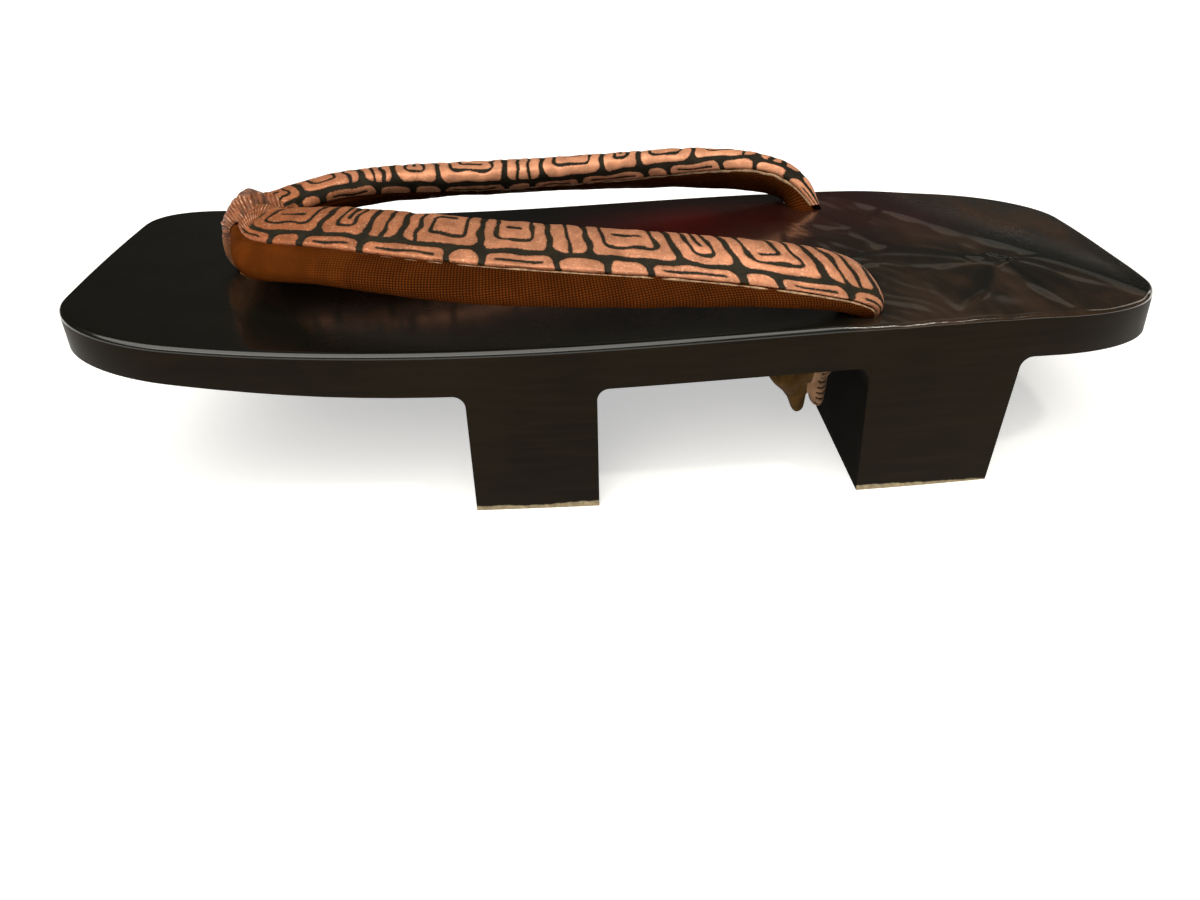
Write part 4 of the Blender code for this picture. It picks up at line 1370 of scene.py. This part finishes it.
def make_edging(strap):
    """The raw edge of the face's backing, which shows as a pale cord along both its seams."""
    at, length = even_stations(461)
    shape = strap_frame(at)
    mesh = bpy.data.meshes.new("raw_edging")
    points, edges, widths = [], [], []
    for edge, name in ((-1, "cover_outer"), (1, "cover_inner")):
        angle = getattr(shape, name)
        step = EDGING_STEP / np.hypot(shape.half * np.sin(angle), shape.thick * np.cos(angle))
        line = section(shape, (angle + edge * step)[:, None], EDGING_INSET)[:, 0]
        wobble = EDGING_WOBBLE * ripple(length / 0.004, length * 0, 50 + edge)
        line = line + wobble[:, None] * shape.up
        first = len(points)
        points += [tuple(p) for p in line]
        edges += [(first + k, first + k + 1) for k in range(len(line) - 1)]
        shown = smooth(40.0, 75.0, np.abs(length) / MM)
        side = np.where(length > 0, FAR_EDGING, NEAR_EDGING)
        uneven = 0.86 + 0.14 * ripple(length / 0.006, length * 0, 60 + edge)
        widths += list((HIDDEN_EDGING + side * shown) * uneven)
    mesh.from_pydata(points, edges, [])
    set_attribute(mesh, "width", widths)
    piece = new_piece("raw_edging", mesh, sharp=0)
    tree, socket = edging_tree(edging_finish(strap))
    sweep = piece.modifiers.new("Sweep", "NODES")
    sweep.node_group = tree
    sweep[socket] = strap.edging_width
    apply_modifiers(piece)
    outward(piece.data)
    piece.data.shade_smooth()
    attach(piece, "root")
    return piece


# Toe loop and knots


def loop_surface(z_share, angle):
    """A point of the toe loop's outer form, by height from the deck's underside and angle round it."""
    deck = float(deck_top(LOOP_AT))
    bottom = float(deck_under(STEM_AT))
    ups = [(bottom - deck) / LOOP_RISE] + column(LOOP, "up")
    shift = [0.0] + column(LOOP, "shift")
    halves = [STEM_RADIUS / (LOOP_LENGTH / 2)] + column(LOOP, "half_length")
    wides = [STEM_RADIUS / (LOOP_WIDTH / 2)] + column(LOOP, "half_width")
    up = np.interp(z_share, np.linspace(0, 1, len(ups)), ups)
    middle = STEM_AT + (LOOP_AT - STEM_AT) * np.interp(up, ups, shift)
    half_length = LOOP_LENGTH / 2 * np.interp(up, ups, halves)
    half_wide = LOOP_WIDTH / 2 * np.interp(up, ups, wides)
    over_fold = smooth(0.42, 0.62, up) * smooth(1.0, 0.82, up) * np.maximum(-np.sin(angle), 0)
    half_wide = half_wide * (1 + HOOD_SWELL * over_fold)
    half_length = half_length * (1 + 0.5 * HOOD_SWELL * over_fold)
    x = from_toe(middle) + half_length * np.cos(angle)
    y = half_wide * np.sin(angle)
    return np.stack([x, y, deck + LOOP_RISE * up], axis=-1)


def toward_fan(points):
    """Offsets from the point that the pleats of the hood run to, beside and above it as the hood leans."""
    notch = np.array([from_toe(NOTCH[0]), NOTCH[1], NOTCH[2]])
    away = points - notch
    beside = away @ np.array(LEAN_ASIDE) - FAN_SHIFT[0]
    above = away @ np.array(LEAN_UP) - FAN_SHIFT[1]
    return beside, above


def wrapped_by_hood(s, share):
    """1 where the hood's cloth lies over the strap's face, by millimetres along and share across."""
    hem = np.interp(share, *HEM)
    return smooth(hem + 0.3, hem - 0.3, -s) * smooth(7.0, 6.0, s)


def make_toe_loop(loop):
    rows, sides = ((150, 300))
    share = np.linspace(0, 1, rows)[:, None] * np.ones((1, sides))
    angle = whole_turn(sides) * np.ones((rows, 1))
    points = loop_surface(share, angle)
    away = points - points.mean(1, keepdims=True)
    away[..., 2] = 0
    away /= np.linalg.norm(away, axis=2, keepdims=True) + 1e-9
    beside, above = toward_fan(points)
    ray = np.arctan2(-above, -beside)
    reach = np.hypot(above, beside)
    wander = 0.9 * ripple(ray * 5.0, reach / 0.006, 71)
    pleat = 0.6 * np.sin(ray * loop.pleats + wander) + 0.4 * np.sin(ray * loop.pleats * 0.45 + 1.6 * wander)
    height = points[..., 2] - float(deck_top(LOOP_AT))
    hood = smooth(0.0085, 0.0125, height)
    strand = smooth(0.0095, 0.0060, height)
    strength = hood * (0.55 + 0.45 * ripple(ray * 2.0, reach / 0.004, 72))
    pinch = points - np.array([from_toe(PINCH[0]), PINCH[1], PINCH[2]])
    crease = np.abs(pinch[..., 2] - 0.25 * pinch[..., 0] - 0.2 * pinch[..., 1])
    tuck = np.exp(-(crease / PINCH_WIDTH) ** 2) * smooth(0.010, 0.003, np.linalg.norm(pinch, axis=-1))
    folds = strand * np.sin(angle * 9.0 + 2.0 * height / 0.008) * 0.5
    push = loop.pleat_depth * (pleat * strength + folds) - PINCH_DEPTH * tuck
    points = points + away * push[..., None]
    points[..., 2] += loop.pleat_depth * pleat * strength * smooth(0.015, 0.018, height)
    mesh = tube_mesh("toe_loop", points)
    # How far each point is pressed in, which the loop's material darkens as painted shade; the rays also give
    # its painted pleat shade and highlights
    shown = np.clip(pleat * strength + 0.3 * folds - 1.6 * tuck, -1, 1)
    set_attribute(mesh, "pleat", shown, (0.0, 0.0))
    set_attribute(mesh, "ray", ray, (0.0, 0.0))
    set_attribute(mesh, "hood", smooth(0.0072, 0.0100, height), (0.0, 1.0))
    piece = new_piece("pleated_toe_loop", mesh, loop_finish(loop))
    room = new_piece("loop_room", tube_mesh("loop_room", strap_body(151, 64, HOLE_CLEARANCE * 0.5)))
    boolean(piece, room, "DIFFERENCE")
    shade(piece.data, 50)
    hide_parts("toe_loop")
    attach(piece, "root")
    return piece


# Level sections of a knot and its two tails in millimetres: drop from the seat, middle beside the knot's
# middle, and half sizes along and across the block
TailRow = namedtuple("TailRow", "drop beside half_long half_wide")
PLAIN_TAIL = (
    TailRow(0.0, -3.6, 3.3, 5.4),
    TailRow(3.0, -4.1, 4.2, 5.2),
    TailRow(5.5, -4.6, 4.5, 5.0),
    TailRow(7.0, -4.6, 4.4, 4.6),
    TailRow(8.6, -4.1, 3.8, 3.8),
    TailRow(10.3, -3.3, 2.8, 2.9),
    TailRow(11.9, -2.6, 2.1, 2.3),
    TailRow(13.6, -2.3, 1.8, 1.9),
    TailRow(15.2, -2.2, 1.4, 1.4),
    TailRow(15.9, -2.2, 0.7, 0.7),
    TailRow(16.1, -2.2, 0.3, 0.3),
)
PRINTED_TAIL = (
    TailRow(0.0, 1.9, 3.2, 5.0),
    TailRow(4.0, 1.7, 2.8, 4.4),
    TailRow(7.0, 1.5, 2.4, 3.4),
    TailRow(11.0, 1.8, 2.0, 2.4),
    TailRow(13.2, 2.1, 1.6, 1.8),
    TailRow(14.3, 2.5, 1.1, 1.1),
    TailRow(14.8, 2.6, 0.4, 0.4),
)
LUMP = (
    TailRow(0.0, -0.6, 5.9, 6.2),
    TailRow(2.0, -0.6, 6.1, 6.5),
    TailRow(4.0, -0.6, 5.9, 6.3),
    TailRow(6.0, -0.6, 5.0, 5.2),
    TailRow(7.6, -0.6, 3.2, 3.2),
    TailRow(8.4, -0.6, 1.1, 1.0),
)
TUCK_PITCH = 1.55
TUCK_MIDDLE = 2.6
TUCK_DEPTH = 0.45
KNOT_VOXEL = 0.00035


def tail_form(name, rows, middle):
    """A closed form through level ellipses, for a tail or a lump under the deck."""
    drops = column(rows, "drop")
    at = np.linspace(drops[0], drops[-1], 40)
    beside, long_half, wide_half = (np.interp(at, drops, column(rows, k)) for k in TailRow._fields[1:])
    angle = whole_turn(32)
    x = middle[0] / MM + beside[:, None] + long_half[:, None] * np.cos(angle)
    y = middle[1] / MM + wide_half[:, None] * np.sin(angle)
    z = middle[2] / MM - at[:, None] * np.ones_like(angle)
    return new_piece(name, tube_mesh(name, np.stack([x, y, z], axis=-1) * MM))


def dress_knot(piece, middle, tails):
    """Remeshes a knot evenly, rounds it and presses its tucks and creases into it."""
    remesh = piece.modifiers.new("Even", "REMESH")
    remesh.mode = "VOXEL"
    remesh.voxel_size = KNOT_VOXEL
    rounded = piece.modifiers.new("Round", "SMOOTH")
    rounded.factor = 0.5
    rounded.iterations = 8
    apply_modifiers(piece)
    mesh = piece.data
    points = coordinates(mesh)
    normals = np.empty(len(mesh.vertices) * 3)
    mesh.vertices.foreach_get("normal", normals)
    local = (points - np.array(middle)) / MM
    drop = -local[:, 2]
    printed = smooth(-0.9, -0.4, local[:, 0]) * tails
    strip = printed * smooth(1.5, 1.0, local[:, 0])
    tucks = np.cos(2 * math.pi * (drop + 0.22 * (local[:, 0] - TUCK_MIDDLE) ** 2) / TUCK_PITCH)
    tucks = np.maximum(tucks, 0) ** 2 * printed * (1 - strip)
    creases = np.maximum(np.sin(local[:, 0] * 1.7 + 0.5 * drop + 1.3 * local[:, 1]), 0) ** 4 * (1 - printed)
    soft = ripple(local[:, 0] / 3.0 + local[:, 1] / 4.0, drop / 4.0, 81)
    push = MM * (0.10 * soft - TUCK_DEPTH * tucks - 0.14 * creases) * smooth(0.2, 1.4, drop)
    points = points + normals.reshape(-1, 3) * push[:, None]
    points[:, 2] = np.minimum(points[:, 2], middle[2])
    mesh.vertices.foreach_set("co", points.ravel())
    # How far each tuck and crease is pressed in, which the knot's material darkens as painted shade
    set_attribute(mesh, "fold", -np.clip(1.3 * tucks + 0.35 * creases, 0, 1))
    set_attribute(mesh, "printed", printed)
    mesh.shade_smooth()


def make_knots(loop):
    """The knots under the deck: a lump with two tails at each rear hole, and a lump under the toe."""
    finish = knot_finish(loop, "knot_cloth")
    for name in ("strap_knot_near", "strap_knot_far", "toe_knot"):
        low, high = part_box(name)
        tails = 0 if name == "toe_knot" else 1
        middle = (high.x - KNOT_WIDTH / 2, (low.y + high.y) / 2, high.z)
        piece = tail_form(name + "_cloth", LUMP, middle)
        if tails:
            for rows in (PLAIN_TAIL, PRINTED_TAIL):
                boolean(piece, tail_form("tail", rows, middle), "UNION")
        dress_knot(piece, middle, tails)
        piece.data.materials.clear()
        piece.data.materials.append(finish)
        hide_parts(name)
        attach(piece, "root")


# Stage


WARM = (1.0, 0.94, 0.82)
# An even soft light from the front, above and left
SUN_COLOUR = (1.0, 0.97, 0.90)
SUN_SPREAD = 70
SUN_RUN = (0.30, 0.55, -1.0)
ROOM_COLOUR = (0.90, 0.86, 0.76)
ROOM_LIGHT = 0.03
FLOOR_SIZE = 8.0
BLOCK_CENTRE = (0.0, 0.0, 0.03)
HEEL_ARRIS = (0.07, -0.04, 0.04)
# Softboxes: where they hang, their sides, their share of the stage's power and what they point at
Softbox = namedtuple("Softbox", "name at size share toward")
SOFTBOXES = (
    Softbox("softbox_right", (0.85, 0.50, 0.42), (0.16, 0.60), 0.16, BLOCK_CENTRE),
    Softbox("softbox_back", (0.20, 1.10, 1.04), (1.30, 0.60), 0.15, BLOCK_CENTRE),
    Softbox("softbox_front", (-0.3, -1.2, 0.80), (1.0, 0.3), 0.50, BLOCK_CENTRE),
    Softbox("arris_lamp", (0.51, -0.50, 1.06), (0.10, 0.10), 0.75, HEEL_ARRIS),
)
# The camera that takes the picture, in metres and degrees
CAMERA_AT = (-0.00948, -0.22483, 0.12089)
CAMERA_PITCH = 30.917
CAMERA_YAW = -1.192
CAMERA_ROLL = -2.077


def make_camera(stage):
    lens = bpy.data.cameras.new("camera")
    lens.lens = stage.lens
    lens.sensor_width = 36.0
    lens.clip_start = 0.01
    camera = new_object("camera", lens)
    turn = (
        Matrix.Rotation(math.radians(CAMERA_YAW), 4, "Z")
        @ Matrix.Rotation(math.radians(90 - CAMERA_PITCH), 4, "X")
        @ Matrix.Rotation(math.radians(CAMERA_ROLL), 4, "Z")
    )
    camera.matrix_world = Matrix.Translation(CAMERA_AT) @ turn
    bpy.context.scene.camera = camera


def make_floor(stage):
    f = Finish("pale_floor", Roughness=0.7, Specular_IOR_Level=0.2, Emission_Strength=stage.glow)
    f.shader.inputs["Emission Color"].default_value = (1.0, 1.0, 1.0, 1.0)
    tone = f.noise(f.place(), 1.5, 2.0)
    colour = f.mix(f.span(tone, 0.3, 0.7), stage.floor, toned(stage.floor, 0.985))
    bpy.ops.mesh.primitive_plane_add(size=FLOOR_SIZE)
    floor = bpy.context.object
    floor.name = "floor"
    floor.data.materials.append(f.done(Base_Color=colour))


def make_light(name, kind, power, colour, run):
    """A light that shines the way of run."""
    lamp = bpy.data.lights.new(name, kind)
    lamp.energy = power
    lamp.color = colour
    thing = new_object(name, lamp)
    thing.rotation_euler = Vector(run).to_track_quat("-Z", "Y").to_euler()
    return thing


def make_softbox(box, power):
    thing = make_light(box.name, "AREA", power, WARM, Vector(box.toward) - Vector(box.at))
    thing.location = box.at
    thing.data.shape = "RECTANGLE"
    thing.data.size, thing.data.size_y = box.size


def make_stage(stage):
    scene = bpy.context.scene
    scene.view_settings.view_transform = "Standard"
    world = bpy.data.worlds.new("room")
    scene.world = world
    world.use_nodes = True
    background = world.node_tree.nodes["Background"]
    background.inputs["Color"].default_value = (*ROOM_COLOUR, 1.0)
    background.inputs["Strength"].default_value = ROOM_LIGHT
    make_floor(stage)
    make_camera(stage)
    sun = make_light("sun", "SUN", stage.sun, SUN_COLOUR, SUN_RUN)
    sun.data.angle = math.radians(SUN_SPREAD)
    for box in SOFTBOXES:
        make_softbox(box, stage.key * box.share)


# Operators and panel


class GETA_OT_block(Operator):
    """Make the lacquered block with its carved heel"""
    bl_idname = "geta.block"
    bl_label = "Lacquered block"

    def execute(self, context):
        make_block(context.scene.geta_block)
        return {"FINISHED"}


class GETA_OT_strap_face(Operator):
    """Make the printed face of the strap"""
    bl_idname = "geta.strap_face"
    bl_label = "Printed face"

    def execute(self, context):
        make_strap_face(context.scene.geta_strap, context.scene.geta_loop)
        return {"FINISHED"}


class GETA_OT_strap_lining(Operator):
    """Make the padded lining of the strap"""
    bl_idname = "geta.strap_lining"
    bl_label = "Woven lining"

    def execute(self, context):
        make_strap_lining(context.scene.geta_strap)
        return {"FINISHED"}


class GETA_OT_edging(Operator):
    """Sweep the raw edge along the seams of the strap"""
    bl_idname = "geta.edging"
    bl_label = "Raw edging"

    def execute(self, context):
        make_edging(context.scene.geta_strap)
        return {"FINISHED"}


class GETA_OT_toe_loop(Operator):
    """Make the pleated toe loop"""
    bl_idname = "geta.toe_loop"
    bl_label = "Toe loop"

    def execute(self, context):
        make_toe_loop(context.scene.geta_loop)
        return {"FINISHED"}


class GETA_OT_knots(Operator):
    """Make the knots and tails under the deck"""
    bl_idname = "geta.knots"
    bl_label = "Knots"

    def execute(self, context):
        make_knots(context.scene.geta_loop)
        return {"FINISHED"}


class GETA_OT_stage(Operator):
    """Make the floor, the lights and the camera"""
    bl_idname = "geta.stage"
    bl_label = "Stage"

    def execute(self, context):
        make_stage(context.scene.geta_stage)
        return {"FINISHED"}


OPERATORS = (
    GETA_OT_stage, GETA_OT_block, GETA_OT_strap_lining, GETA_OT_strap_face, GETA_OT_edging, GETA_OT_toe_loop,
    GETA_OT_knots,
)
SETTINGS = (
    ("geta_block", GetaBlock), ("geta_strap", GetaStrap), ("geta_loop", GetaLoop), ("geta_stage", GetaStage),
)


class GETA_PT_sandal(Panel):
    """Sizes, colours and steps of the sandal"""
    bl_label = "Geta sandal"
    bl_idname = "GETA_PT_sandal"
    bl_space_type = "VIEW_3D"
    bl_region_type = "UI"
    bl_category = "Geta"

    def draw(self, context):
        for name, group in SETTINGS:
            box = self.layout.box()
            for key in group.__annotations__:
                box.prop(getattr(context.scene, name), key)
        for operator in OPERATORS:
            self.layout.operator(operator.bl_idname)


CLASSES = tuple(group for _, group in SETTINGS) + OPERATORS + (GETA_PT_sandal,)


def register():
    for cls in CLASSES:
        bpy.utils.register_class(cls)
    for name, group in SETTINGS:
        setattr(bpy.types.Scene, name, PointerProperty(type=group))


def unregister():
    for name, _ in SETTINGS:
        delattr(bpy.types.Scene, name)
    for cls in reversed(CLASSES):
        bpy.utils.unregister_class(cls)


def main():
    register()
    for operator in OPERATORS:
        getattr(bpy.ops.geta, operator.bl_idname.removeprefix("geta."))()


if __name__ == "__main__":
    main()
